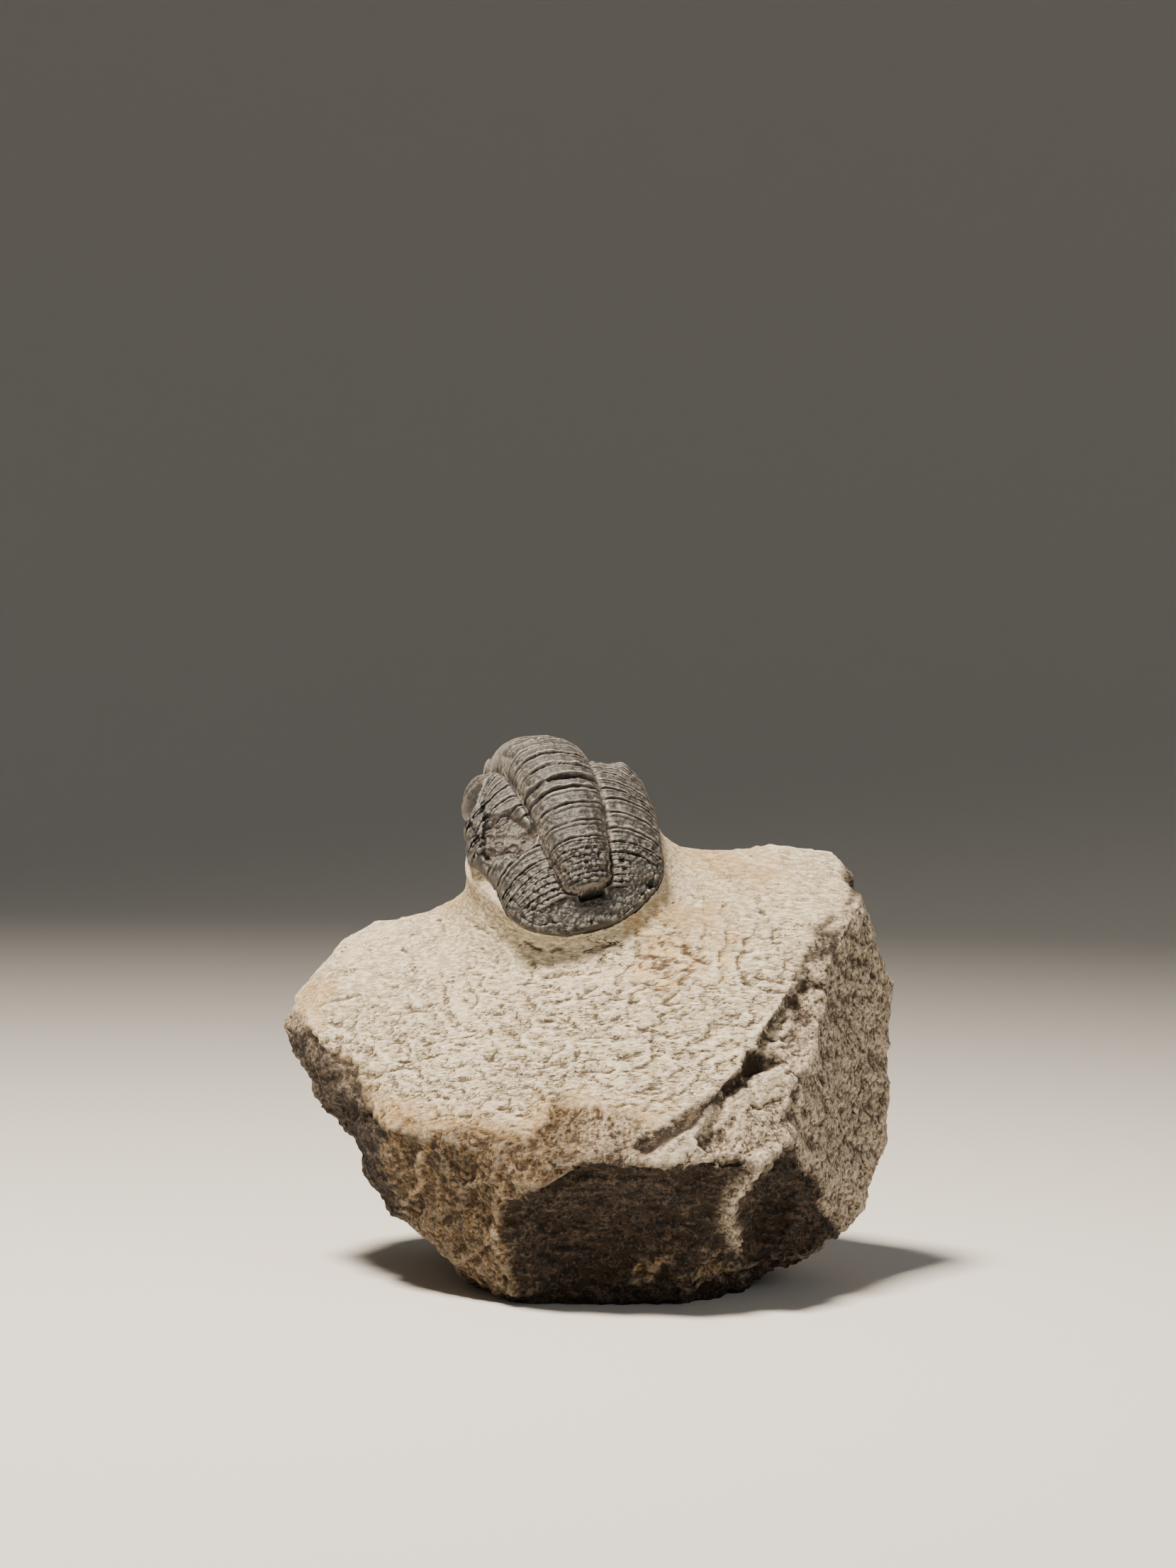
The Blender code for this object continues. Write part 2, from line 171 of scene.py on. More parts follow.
# The shell is a grid of points: rows from the tail to the head, close together where the plates are, and
# columns from its left margin (-2) over the edge of the axis (-1) and its crest (0) to its right margin (2)
row_ends = (0.0, TAIL_AXIS_END, *RING_EDGES)
row_counts = (48, 56, *[26] * 10)
rows = [np.linspace(*ends, count, endpoint=False) for *ends, count in zip(row_ends, row_ends[1:], row_counts)]
rows.append(np.linspace(THORAX_END, BODY_LENGTH, 52))
side = np.linspace(1.0, 0.0, 62, endpoint=False)
left_half = np.concatenate([-1 - side, np.linspace(-1, 0, 42, endpoint=False)])
r, column = np.meshgrid(np.concatenate(rows), np.concatenate([left_half, (0.0,), -left_half[::-1]]), indexing="ij")

# The plates sweep back toward the sides; s is the way along the body, reach the way out from its middle
out = np.clip(np.abs(column) - 1, 0, 1)
sweep = np.interp(r, (0, 2.0, 7.1, 24.0, 30.0, 35.0), (0, 0.9, 2.6, 2.8, 1.0, 0))
s = np.clip(r - sweep * out**2, 0.02, BODY_LENGTH - 0.02)
axis = axis_half_width(s)

# The broken lump on the left stands out past the margin: where along the body, over what length, and how far
LEFT_LUMP = ((14.2, 3.6, 1.5), (17.3, 0.8, 0.4), (15.3, 0.6, -0.7), (12.3, 0.7, 0.5), (19.6, 0.8, -0.5))
broken_lump = sum(rise * bell(s - middle, length) for middle, length, rise in LEFT_LUMP) * (column < 0)
margin = half_width(s, column > 0)
width = margin + broken_lump
inner = np.maximum(axis, 0.22 * width)
reach = np.where(np.abs(column) <= 1, np.abs(column) * inner, inner + out * (width - inner))
lean = -1.0 * bell(s - 24.0, 6.0) * (1 - out**2)
x = np.sign(column) * reach + lean
on_axis = reach < axis * 0.995

# The arch of the body: side lobes that fall to the margin, a shield at the tail, the raised axis, and low eyes
across_lobe = np.clip((reach - axis) / np.maximum(width - axis, 0.01), 0, 1)
side_stations = (0.0, 1.0, 2.2, 4.0, 7.1, 13.0, 19.0, 23.0, 27.0, 31.5, 34.2, 35.0)
side_height = np.interp(s, side_stations, (0.9, 1.1, 1.5, 2.2, 3.2, 4.3, 4.5, 4.4, 4.0, 2.4, 1.0, 0.7))
shoulder = (1 - 0.38 * across_lobe) * (1 - across_lobe**3.2) ** 0.6
shield = (1 - across_lobe**1.7) ** 0.85
tail_share = np.clip((TAIL_LENGTH + 1.5 - s) / 3.0, 0, 1)
axis_stations = (3.1, 4.2, 7.1, 14.0, 19.5, 22.4, 23.8, 24.8, 27.5, 31.5, 34.0)
axis_height = np.interp(s, axis_stations, (1.8, 2.4, 3.2, 3.6, 3.9, 3.9, 4.2, 3.7, 5.0, 3.9, 1.8))
arch = axis_height * np.sqrt(np.clip(1 - (reach / np.maximum(axis, 0.01)) ** 2.2, 0, 1)) * (axis > 0.05)
arch *= 1 - 0.14 * np.clip(column, -1, 1) * bell(s - 23, 6)
eye = np.clip(1 - ((s - EYE_AT[0]) / EYE_RADII[0]) ** 2 - ((reach - EYE_AT[1]) / EYE_RADII[1]) ** 2, 0, 1)
height = side_height * (shoulder + (shield - shoulder) * tail_share) + arch
height += 0.9 * eye**0.7 - 0.55 * bell(s - NECK_FURROW, 0.35) * (reach < 7)
height += 1.0 * bell(np.hypot(s - 21.0, x - 9.9), 1.6)
height -= 0.4 * bell(reach - axis, 0.32) * (axis > 0.5)

# Rings, ribs and their slots, none of them quite straight and each with its own strength along its length
plain = on_the_rock(s, x, height)
ripple = fractal(plain, 2.6, 2, 3.0)
crooked = ripple + 1.2 * fractal(plain, 6.0, 2, 30.0)
partly = np.clip(0.95 + 1.0 * fractal(plain, 1.6, 2, 8.0), 0.15, 1.3)
left_end = bell(column + 0.95, 0.35)
rings = plate_relief(r + 0.16 * crooked, RING_EDGES, SLOT_DEPTHS, SLOT_WIDTHS, 0.3)
ribs = plate_relief(r + 0.18 * crooked, RING_EDGES, np.full(11, 0.55), np.full(11, 0.15), 0.3)
tail_rings = plate_relief(r + 0.08 * ripple, TAIL_EDGES, np.full(8, 0.25), np.full(8, 0.1), 0.2)
tail_ribs = plate_relief(r + 0.1 * ripple, TAIL_RIB_EDGES, np.full(6, 0.4), np.full(6, 0.13), 0.28)
in_tail = (r < TAIL_LENGTH) & (r > TAIL_AXIS_END)
in_thorax = (r >= TAIL_LENGTH) & (r < THORAX_END + 0.2)
tail_rib_end = np.where(column > 0, 0.45, 0.85)
rib_end = np.where(in_tail, np.clip((tail_rib_end - out) * 6, 0, 1), np.clip((1 - out) * 25, 0, 1))
rib_fade = np.clip(out * 8, 0, 1) * rib_end
axis_relief = rings * in_thorax + tail_rings * in_tail
side_relief = (ribs * in_thorax + tail_ribs * in_tail) * rib_fade
height += np.where(on_axis, axis_relief, side_relief) * partly
fine_lines = np.sin(2 * np.pi * (r + 0.5 * crooked) / FINE_LINE_SPACING)
height += 0.025 * fine_lines * in_thorax * np.clip(0.2 + ripple, 0, 1)
height -= 0.3 * bell(r - 14.35, 0.4) * left_end

# The hollow where plates broke away, the pit in the tail shield, the shadowed end of the tail's axis, and the
# crack along the tail's border
from_hollow = np.hypot((s - HOLLOW_AT[0]) / HOLLOW_RADII[0], (x - HOLLOW_AT[1]) / HOLLOW_RADII[1])
hollow = np.clip(np.clip(1.6 - from_hollow + 0.4 * ripple, 0, 1) * 2.5, 0, 1)
rough_left = np.clip(1.5 - np.hypot((s - 15.5) / 6.5, (x + 12.2) / 2.8) + 0.4 * ripple, 0, 1)
height = height - hollow * (1.15 + side_relief * partly * ~on_axis)
height -= 1.0 * bell(np.hypot(s - TAIL_PIT_AT[0], (x - TAIL_PIT_AT[1]) / 1.2), 0.55)
height -= 1.4 * bell(s - 2.75 - 0.06 * x**2, 0.36) * np.clip((1.9 - np.abs(x - 0.2)) * 2, 0, 1)
from_edge = np.minimum(width - reach, 1.3 * s)
tail_border = np.clip((5.0 - s) / 2, 0, 1)
crack = bell(from_edge - 1.0 - 0.7 * crooked, 0.2) * np.clip(0.3 + 1.8 * ripple + 0.4 * (x > 0), 0, 1)
height -= 0.6 * crack * tail_border
chipped = np.clip(0.2 + 1.2 * crooked + 1.8 * fractal(plain, 0.9, 3, 50.0), 0, 1)
height -= 0.5 * np.clip(1 - from_edge / 1.1, 0, 1) * chipped * tail_border

# The skin: beads on the tail, worn unevenness everywhere, and crumbs where the left side broke
body = on_the_rock(s, x, height)
facing = np.cross(np.gradient(body, axis=1), np.gradient(body, axis=0))
facing /= np.maximum(np.linalg.norm(facing, axis=-1, keepdims=True), 1e-9)
flat_body = body.reshape(-1, 3)
beads, _, bead_number = grains(flat_body, 0.6, 2)
_, crumb_tilt, _ = grains(flat_body, 1.0, 4)
tail_grain = np.clip((9.5 - s) / 3.0, 0, 1) * np.where(on_axis, 1.0, 0.75)
pebbled = (np.clip(beads * 2.0, 0, 1) * np.clip(bead_number * 1.6 - 0.3, 0, 1)).reshape(s.shape)
worn_skin = fractal(body, 0.8, 6, 15.0)
raised = 0.13 * pebbled * np.clip(tail_grain + 0.08, 0, 1) + (0.05 + 0.19 * tail_grain) * worn_skin
raised += (0.035 + 0.07 * tail_grain) * fractal(body, 0.6, 4, 5.0)
raised += 0.5 * crumb_tilt.reshape(s.shape) * np.clip(0.7 * hollow + rough_left, 0, 1)
raised += 0.4 * fractal(body, 1.5, 4, 6.0) * np.clip(rough_left + 0.8 * hollow, 0, 1)
raised *= 1 - 0.6 * bell(s - TAIL_AXIS_END, 0.8) * (reach < 4.0)
raised *= np.clip((2 - np.abs(column)) * 12, 0, 1) * np.clip(r * 3, 0, 1)
body = body + facing * raised[..., None]


def spread(values, rounds):
    """Averages a grid of points with their neighbours a number of times."""
    for _ in range(rounds):
        wide = np.pad(values, ((1, 1), (1, 1), (0, 0)), mode="edge")
        values = (wide[:-2, 1:-1] + wide[2:, 1:-1] + wide[1:-1, :-2] + wide[1:-1, 2:]) / 4
    return values


stands_out = ((body - spread(body, 6)) * facing).sum(-1)

# Under the margin the shell turns in, and closes along the middle inside the rock
under = ((-0.7, 1.0), (-1.3, 0.96), (-1.5, 0.0))
left_floor = [on_the_rock(s[:, :1], x[:, :1] * share, np.full_like(s[:, :1], drop)) for drop, share in under[::-1]]
right_floor = [on_the_rock(s[:, -1:], x[:, -1:] * share, np.full_like(s[:, :1], drop)) for drop, share in under]
tube = np.concatenate([*left_floor, body, *right_floor], axis=1)
row_count, column_count = tube.shape[:2]

bpy.ops.object.select_all(action="DESELECT")
bpy.ops.mesh.primitive_grid_add(x_subdivisions=column_count - 1, y_subdivisions=row_count - 1, size=0.03)
shell = bpy.context.object
shell.name = shell.data.name = "trilobite_shell"
shell.data.vertices.foreach_set("co", (tube * MM).ravel())
furrow_dust = np.clip(bell(reach - axis, 0.6) * (axis > 0.5) + 0.5 * bell(s - NECK_FURROW, 0.5), 0, 1)


def keep_on_mesh(obj, name, values):
    """Stores one number for each vertex, for the material to read."""
    obj.data.attributes.new(name, "FLOAT", "POINT").data.foreach_set("value", np.ravel(values).astype(np.float32))


def padded(values):
    """The values of the body's grid, with the columns under the margin given those of the margin."""
    return np.pad(values, ((0, 0), (len(under), len(under))), mode="edge")


keep_on_mesh(shell, "dust", padded(furrow_dust * np.clip(0.3 + 1.2 * ripple, 0, 1)))
keep_on_mesh(shell, "relief", padded(np.clip(stands_out * 9, -1, 1)))
keep_on_mesh(shell, "broken", padded(np.clip(hollow * 1.3, 0, 1)))
keep_on_mesh(shell, "rough", padded(np.clip(rough_left + 0.6 * tail_grain, 0, 1)))

bpy.ops.object.mode_set(mode="EDIT")
bpy.ops.mesh.select_all(action="SELECT")
bpy.ops.mesh.remove_doubles(threshold=0.000002)
bpy.ops.mesh.select_all(action="DESELECT")
bpy.ops.mesh.select_non_manifold(extend=False, use_wire=False, use_boundary=True, use_multi_face=False)
bpy.ops.mesh.fill_holes(sides=0)
bpy.ops.mesh.select_all(action="SELECT")
bpy.ops.mesh.normals_make_consistent(inside=False)
bpy.ops.object.mode_set(mode="OBJECT")
bpy.ops.object.shade_smooth()


def linear(hex_colour):
    """The linear colour, with alpha, of an sRGB hex value."""
    parts = [int(hex_colour[i : i + 2], 16) / 255 for i in (1, 3, 5)]
    return (*[p / 12.92 if p <= 0.04045 else ((p + 0.055) / 1.055) ** 2.4 for p in parts], 1.0)


def add_node(tree, kind, settings=None):
    """Adds a shader node. A setting is a property, an input's value or hex colour, or a socket to link to it."""
    made = tree.nodes.new("ShaderNode" + kind)
    for key, value in (settings or {}).items():
        if isinstance(value, bpy.types.NodeSocket):
            tree.links.new(value, made.inputs[key])
        elif isinstance(key, str) and hasattr(made, key):
            setattr(made, key, value)
        else:
            made.inputs[key].default_value = linear(value) if isinstance(value, str) else value
    return made


# Sockets that share a name go by number: those of a Map Range node, and the share, colours and result of a Mix
VALUE, FROM_LOW, FROM_HIGH, TO_LOW, TO_HIGH = range(5)
SHARE, UNDER, OVER, MIXED = 0, 6, 7, 2


# Dark calcite with a matt, finely granular skin. Its greys shift a little, its ridges are scuffed paler by the
# scribe and carry a painted highlight, its slots are painted nearly black as shade, and pale rock dust lies in its
# furrows.
# A pattern's scale is 1000 over its size in mm.
calcite = bpy.data.materials.new("dark_calcite")
calcite.use_nodes = True
tree = calcite.node_tree
shader = tree.nodes["Principled BSDF"]
place = add_node(tree, "TexCoord").outputs["Object"]
patterns = {}
noises = (("mottle", 2.2, 5.0, 0.65), ("fine", 0.25, 4.0, 0.65), ("flecks", 0.5, 3.0, 0.7))
for name, size, detail, roughness in noises:
    settings = {"Scale": 1000 / size, "Detail": detail, "Roughness": roughness, "Vector": place}
    patterns[name] = add_node(tree, "TexNoise", settings).outputs[0]
marks = {}
for name in ("dust", "broken", "rough", "relief"):
    marks[name] = add_node(tree, "Attribute", {"attribute_name": name}).outputs["Fac"]

tone = add_node(tree, "MapRange", {VALUE: patterns["mottle"], FROM_LOW: 0.35, FROM_HIGH: 0.68}).outputs[0]
greys = {"data_type": "RGBA", SHARE: tone, UNDER: "#1f1e1c", OVER: "#3a3834"}
browns = {"data_type": "RGBA", SHARE: patterns["flecks"], UNDER: "#241d18", OVER: "#5c5146"}
worn = add_node(tree, "Mix", browns).outputs[MIXED]
flecked = {VALUE: patterns["flecks"], FROM_LOW: 0.52, FROM_HIGH: 0.74, TO_HIGH: 0.55}
# Raised ridges are scuffed paler and also carry a painted highlight
scuff_and_highlight = {VALUE: marks["relief"], FROM_LOW: 0.05, FROM_HIGH: 0.9, TO_HIGH: 0.7}
# Painted shade: the slots between the plates are painted nearly black
slot_shadow = {VALUE: marks["relief"], FROM_LOW: -0.05, FROM_HIGH: -0.65, TO_HIGH: 0.92}
dust_patch = add_node(tree, "MapRange", {VALUE: patterns["flecks"], FROM_LOW: 0.45, FROM_HIGH: 0.6}).outputs[0]
colour = add_node(tree, "Mix", greys).outputs[MIXED]
for share, tint in (
    (add_node(tree, "MapRange", flecked), "#7d786f"),
    # scuff wear and painted highlight on the ridges
    (add_node(tree, "MapRange", scuff_and_highlight), "#948e85"),
    # painted shade in the slots
    (add_node(tree, "MapRange", slot_shadow), "#141210"),
    (add_node(tree, "Math", {"operation": "MULTIPLY", 0: marks["rough"], 1: 0.45}), "#171614"),
    (add_node(tree, "Math", {"operation": "MULTIPLY", 0: marks["broken"], 1: 0.6}), worn),
    (add_node(tree, "Math", {"operation": "MULTIPLY", 0: marks["dust"], 1: dust_patch}), "#a3968a"),
):
    layer = {"data_type": "RGBA", SHARE: share.outputs[0], UNDER: colour, OVER: tint}
    colour = add_node(tree, "Mix", layer).outputs[MIXED]
tree.links.new(colour, shader.inputs["Base Color"])
gloss = add_node(tree, "MapRange", {VALUE: patterns["fine"], TO_LOW: 0.36, TO_HIGH: 0.62})
tree.links.new(gloss.outputs[0], shader.inputs["Roughness"])
shader.inputs["IOR"].default_value = 1.6
skin = add_node(tree, "Bump", {"Strength": 0.6, "Distance": 0.00012, "Height": patterns["fine"]}).outputs[0]
granules = {"Strength": 0.5, "Distance": 0.0002, "Height": patterns["flecks"], "Normal": skin}
tree.links.new(add_node(tree, "Bump", granules).outputs[0], shader.inputs["Normal"])
shell.data.materials.clear()
shell.data.materials.append(calcite)

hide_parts("trilobite")
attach(shell, "root")


# The matrix rock: the block of limestone that held the fossil, struck from its bed, with broken faces all round
# that weathered brown. Its front slope and the peak under the trilobite were dressed with an air scribe, which
# left pale stone with fine tool marks.

SKYLINE = (
    (-39.8, 2, 31.8), (-38.3, 4, 35.2), (-32.2, 8, 43.6), (-24.5, 9, 48.2), (-19, 8, 50.4),
    (15.2, 6, 58.6), (24, 9, 57.4), (33.6, 9, 56.8), (36.6, 8, 53.8), (40.9, 8, 43.5),
)
RIGHT_PROFILE = (
    (42.0, 8, 34.3), (41.8, 8, 26), (41.1, 7, 16.3), (37.9, 5, 10.9), (36.6, 2, 6.2), (32.4, -10, 14.5),
)
LOWER_LEFT = (
    (-34.4, -1, 23.9), (-29.4, -6, 17.2), (-24.2, -12, 11.2), (-17.0, -18, 6.0), (-10.4, -23, 3.4),
    (-7.8, -24, 2.0),
)
FACE_RIM = (
    (-35.6, -4.5, 32.8), (-29.8, -11, 29.2), (-26, -19, 21.2), (-17.7, -25, 21.4), (-9.5, -31, 19.9),
    (-4.9, -32.5, 15.0), (1.9, -35, 19.4), (8.8, -35, 19.1), (17.2, -32, 19.9), (22.6, -28, 19.1),
    (27.6, -20, 33.5), (34.1, -4.5, 46.6), (36.6, -0.5, 50),
)
BACK = (
    (-33, 19, 31), (-24, 25, 38), (-8, 30, 45), (9, 31, 46), (25, 27, 45), (35, 20, 42), (39, 17, 29),
    (36, 22, 20), (22, 28, 12), (4, 31, 11), (-12, 28, 9), (-25, 20, 12), (-31, 12, 19),
)
FOOT = (
    (-7, -18), (4.5, -20), (14.1, -18.5), (17, -15), (18.5, -6), (19, 5), (16, 14), (7, 20), (-7, 17), (-11, 7),
    (-10.5, -8),
)
FOOT_BELOW = 1.5
LEDGE_ENDS = ((14.2, -31.5, 22.8), (29.0, -11.5, 42.6))
LEDGE_REACH = (21.0, -1.5, -13.0)
LEDGE_DEPTH = 2.6
SLOPE_NORMAL = np.array((-0.04, -0.73, 0.68)) / np.linalg.norm((-0.04, -0.73, 0.68))
PEAK = np.array((-4.0, 2.0, 60.0))
BITES = (
    ("front_scoop", (6.5, -37.5, 4.5), (16.5, 16.5, 12.5), (-10, 0, 0)),
    ("fin_notch", (27.0, -19.0, 7.0), (6.5, 9.0, 7.5), (0, 0, 30)),
    ("back_flake", (-22.0, 33.0, 21.0), (15.0, 8.0, 17.0), (0, 0, 20)),
    ("back_chip", (30.0, 30.0, 22.0), (12.0, 7.0, 10.0), (0, 0, -25)),
)
STONE_VOXEL = 0.475
FLANK_REACH = 18
FLANK_ROUNDS = 900
ROOM_UNDER_SHELL = 1.6
SEEN_FROM = np.array((0.5, -401.3, 65.0))


def hull(name, corners):
    """A ring of loose vertices moved to the corners, then wrapped in its convex hull."""
    bpy.ops.object.select_all(action="DESELECT")
    bpy.ops.mesh.primitive_circle_add(vertices=len(corners), radius=0.01)
    made = bpy.context.object
    made.name = name
    made.data.vertices.foreach_set("co", (np.array(corners, float) * MM).ravel())
    bpy.ops.object.mode_set(mode="EDIT")
    bpy.ops.mesh.select_all(action="SELECT")
    bpy.ops.mesh.convex_hull()
    bpy.ops.mesh.select_all(action="SELECT")
    bpy.ops.mesh.normals_make_consistent(inside=False)
    bpy.ops.object.mode_set(mode="OBJECT")
    return made


def cut_or_join(obj, other, operation):
    """Joins another solid to this one, or cuts it away, and removes it."""
    modifier = obj.modifiers.new(other.name, "BOOLEAN")
    modifier.operation = operation
    modifier.object = other
    modifier.solver = "EXACT"
    bpy.ops.object.select_all(action="DESELECT")
    bpy.context.view_layer.objects.active = obj
    bpy.ops.object.modifier_apply(modifier=modifier.name)
    bpy.data.objects.remove(other, do_unlink=True)


# The rough block, the peak under the shell's margin joined to it, the ledge cut off and the big flakes struck off
foot = [(fx, fy, -FOOT_BELOW) for fx, fy in FOOT]
stone = hull("matrix_stone", [*SKYLINE, *RIGHT_PROFILE, *LOWER_LEFT, *FACE_RIM, *BACK, *foot])
margin_s = np.concatenate([s[:, 0], s[::-1, -1]])
margin_x = np.concatenate([-margin[:, 0], margin[::-1, -1]])
every = slice(None, None, 24)
fuller = bell(margin_s - 12.0, 5.0) * (margin_x < 0)
peak_points = []
for flare, below, fuller_by in ((-0.2, 0.4, 0.0), (0.1, 3.0, 2.0), (1.2, 9.0, 3.0)):
    widened = margin_x + np.sign(margin_x) * (flare + fuller_by * fuller)
    peak_points.append(on_the_rock(margin_s[every], widened[every], np.full_like(margin_s[every], -below)))
head_front = on_the_rock(np.full(3, BODY_LENGTH + 1.2), np.array((-4.0, 0.0, 4.0)), np.full(3, -1.5))
cut_or_join(stone, hull("peak", np.concatenate([*peak_points, head_front])), "UNION")
ledge_near = np.array(LEDGE_ENDS)
ledge_line = (*ledge_near, *(ledge_near + LEDGE_REACH))
ledge_corners = [corner + SLOPE_NORMAL * rise for corner in ledge_line for rise in (9.0, -LEDGE_DEPTH)]
cut_or_join(stone, hull("right_ledge", ledge_corners), "DIFFERENCE")
for name, centre, radii, turn in BITES:
    bpy.ops.object.select_all(action="DESELECT")
    placed = {"location": np.array(centre) * MM, "rotation": np.radians(turn), "scale": np.array(radii) * MM}
    bpy.ops.mesh.primitive_ico_sphere_add(subdivisions=5, radius=1.0, **placed)
    flake = bpy.context.object
    flake.name = name
    cut_or_join(stone, flake, "DIFFERENCE")

bpy.context.view_layer.objects.active = stone
stone.select_set(True)
even = stone.modifiers.new("even_mesh", "REMESH")
even.mode = "VOXEL"
even.voxel_size = STONE_VOXEL * MM
bpy.ops.object.modifier_apply(modifier=even.name)


def vertex_places(obj):
    """The object's vertices, in mm."""
    flat = np.empty(len(obj.data.vertices) * 3)
    obj.data.vertices.foreach_get("co", flat)
    return flat.reshape(-1, 3) / MM


def vertex_normals(obj):
    """The object's vertex normals."""
    flat = np.empty(len(obj.data.vertices) * 3)
    obj.data.vertex_normals.foreach_get("vector", flat)
    return flat.reshape(-1, 3)


def inside(outline, across, up):
    """Distance in mm inside a closed outline; negative outside it."""
    corners = np.array(outline, float)
    nearest = np.full(len(across), 1e9)
    crossings = np.zeros(len(across), int)
    for (ax, ay), (bx, by) in zip(corners, np.roll(corners, -1, axis=0)):
        run, rise = bx - ax, by - ay
        along = np.clip(((across - ax) * run + (up - ay) * rise) / (run**2 + rise**2), 0, 1)
        nearest = np.minimum(nearest, np.hypot(across - ax - along * run, up - ay - along * rise))
        level = ax + (up - ay) / (rise if rise else 1e-9) * run
        crossings += ((ay > up) != (by > up)) & (across < level)
    return np.where(crossings % 2 == 1, nearest, -nearest)


def away_from(line, across, up):
    """Distance in mm to an open line."""
    nearest = np.full(len(across), 1e9)
    for (ax, ay), (bx, by) in zip(line[:-1], line[1:]):
        run, rise = bx - ax, by - ay
        along = np.clip(((across - ax) * run + (up - ay) * rise) / (run**2 + rise**2), 0, 1)
        nearest = np.minimum(nearest, np.hypot(across - ax - along * run, up - ay - along * rise))
    return nearest


# The fossil's margin on the rock, with its way up and its way out from the shell
margin_line = on_the_rock(margin_s, margin_x, np.zeros_like(margin_s))
margin_up = on_the_rock(margin_s, margin_x, np.ones_like(margin_s)) - margin_line
margin_out = np.cross(margin_up, np.gradient(margin_line, axis=0))
margin_out /= np.linalg.norm(margin_out, axis=1, keepdims=True)
margin_tree = KDTree(len(margin_s))
for i, point in enumerate(margin_line):
    margin_tree.insert(Vector(point), i)
margin_tree.balance()


def seen_from_margin(places):
    """For points in mm: the margin's nearest point, the distance to it, the height above it and the way out."""
    found = [margin_tree.find(Vector(p))[1:] for p in places]
    which = np.array([index for index, _ in found])
    away = places - margin_line[which]
    level = (away * margin_up[which]).sum(1)
    return which, np.array([distance for _, distance in found]), level, (away * margin_out[which]).sum(1)


places = vertex_places(stone)
which, from_margin, level, outside = seen_from_margin(places)

# The preparator blended the peak into the slope: between the fossil's margin and the slope a soft hollow flank
rim = (level > -0.9 - 2.2 * fuller[which]) & (outside < 0.6 + 1.8 * fuller[which])
band = np.clip((FLANK_REACH - from_margin) / 6, 0, 1) * ~rim * (places[:, 2] > 28)
group = stone.vertex_groups.new(name="flank")
for share in np.linspace(0.2, 1.0, 5):
    chosen = np.nonzero((band > share - 0.2) & (band <= share))[0]
    group.add(chosen.tolist(), float(share), "REPLACE")
for group_name, factor, rounds in (("flank", 0.9, FLANK_ROUNDS), ("", 0.5, 5)):
    soften = stone.modifiers.new("soften", "SMOOTH")
    soften.factor = factor
    soften.iterations = rounds
    soften.vertex_group = group_name
    bpy.ops.object.modifier_apply(modifier=soften.name)

# Round the fossil the rock was cut down to just below its margin, and under it there is room for its inside
places = vertex_places(stone)
which, from_margin, level, outside = seen_from_margin(places)
ceiling = np.where(outside > 0, -0.25 + 0.5 * outside, -ROOM_UNDER_SHELL)
too_high = np.clip(level - ceiling, 0, None) * np.clip((6 - from_margin) / 3, 0, 1)
places -= margin_up[which] * too_high[:, None]
stone.data.vertices.foreach_set("co", (places * MM).ravel())

# The rock's faces and marks as seen from the front, in mm to the right of the middle and above the foot: the
# dressed slope; the ledge and its cliff at the lower right, the cliff painted dark as shade; the scoop at the
# bottom, painted dark as shade; iron and tan stains; the flat face at the right of the scoop, painted dark as
# shade, and the pale fin at its right, left out of the painted shade; the strip down the left, painted dark as
# shade; ridges between broken faces, with how far they rise and how broad they are; slits torn by the scribe; and
# chips along the right edge, painted dark as shade
DRESSED = (
    (-37.9, 35.7), (-35.7, 32.0), (-32.9, 29.7), (-29.3, 27.5), (-28.2, 24.3), (-26.8, 20.6), (-24.9, 19.0),
    (-19.8, 18.9), (-14.2, 19.5), (-10.0, 18.6), (-6.7, 18.2), (-5.1, 19.2), (-3.5, 22.5), (-1.7, 22.8),
    (1.6, 22.2), (4.4, 21.7), (6.7, 21.3), (9.1, 20.3), (11.0, 20.1), (13.3, 22.0), (15.1, 23.2), (16.9, 24.0),
    (19.7, 26.4), (21.5, 28.7), (21.9, 30.5), (24.7, 30.3), (28.0, 31.2), (28.1, 33.6), (28.3, 37.3),
    (29.2, 40.1), (29.6, 42.0), (30.4, 45.3), (31.1, 46.2), (33.7, 46.5), (35.5, 48.2), (35.9, 50.6),
    (35.4, 52.4), (34.2, 54.5), (37, 60), (37, 90), (-42, 90),
)
LEDGE_FACE = (
    (9.9, 15.2), (10.1, 16.6), (15.6, 20.2), (19.3, 23.8), (23.4, 26.9), (27.6, 28.9), (28.1, 26.1),
    (25.8, 24.6), (20.3, 21.7), (16.2, 17.9), (11.6, 14.7),
)
LEDGE_CLIFF = (
    (13.3, 21.5), (15.6, 23.2), (17.4, 24.0), (20.2, 26.6), (21.5, 28.7), (22.2, 30.6), (25.7, 30.2),
    (27.1, 29.3), (23.4, 27.2), (19.3, 24.0), (15.6, 20.4), (10.1, 16.8), (8.2, 17.7),
)
SCOOP = (
    (-10.3, 11.2), (-7.4, 9.8), (-5.3, 11.0), (-1.6, 13.0), (2.0, 15.2), (5.9, 15.9), (9.6, 14.8), (16.5, 14.4),
    (18.6, 16.2), (21.9, 16.2), (24.1, 15.7), (31, 14), (33, -5), (-9, -5),
)
IRON = (
    (7.6, 45.7), (10.3, 46.2), (12.7, 45.8), (16.0, 43.5), (19.7, 44.1), (20.2, 42.2), (19.3, 40.8),
    (16.6, 40.3), (14.7, 39.3), (12.0, 36.9), (10.5, 37.8), (8.2, 39.1), (7.2, 42.4),
)
TAN_RIGHT = ((13.8, 58.4), (19.4, 57.6), (26.0, 55.9), (26.5, 53.1), (21.0, 51.1), (16.3, 51.9), (13.9, 55.2))
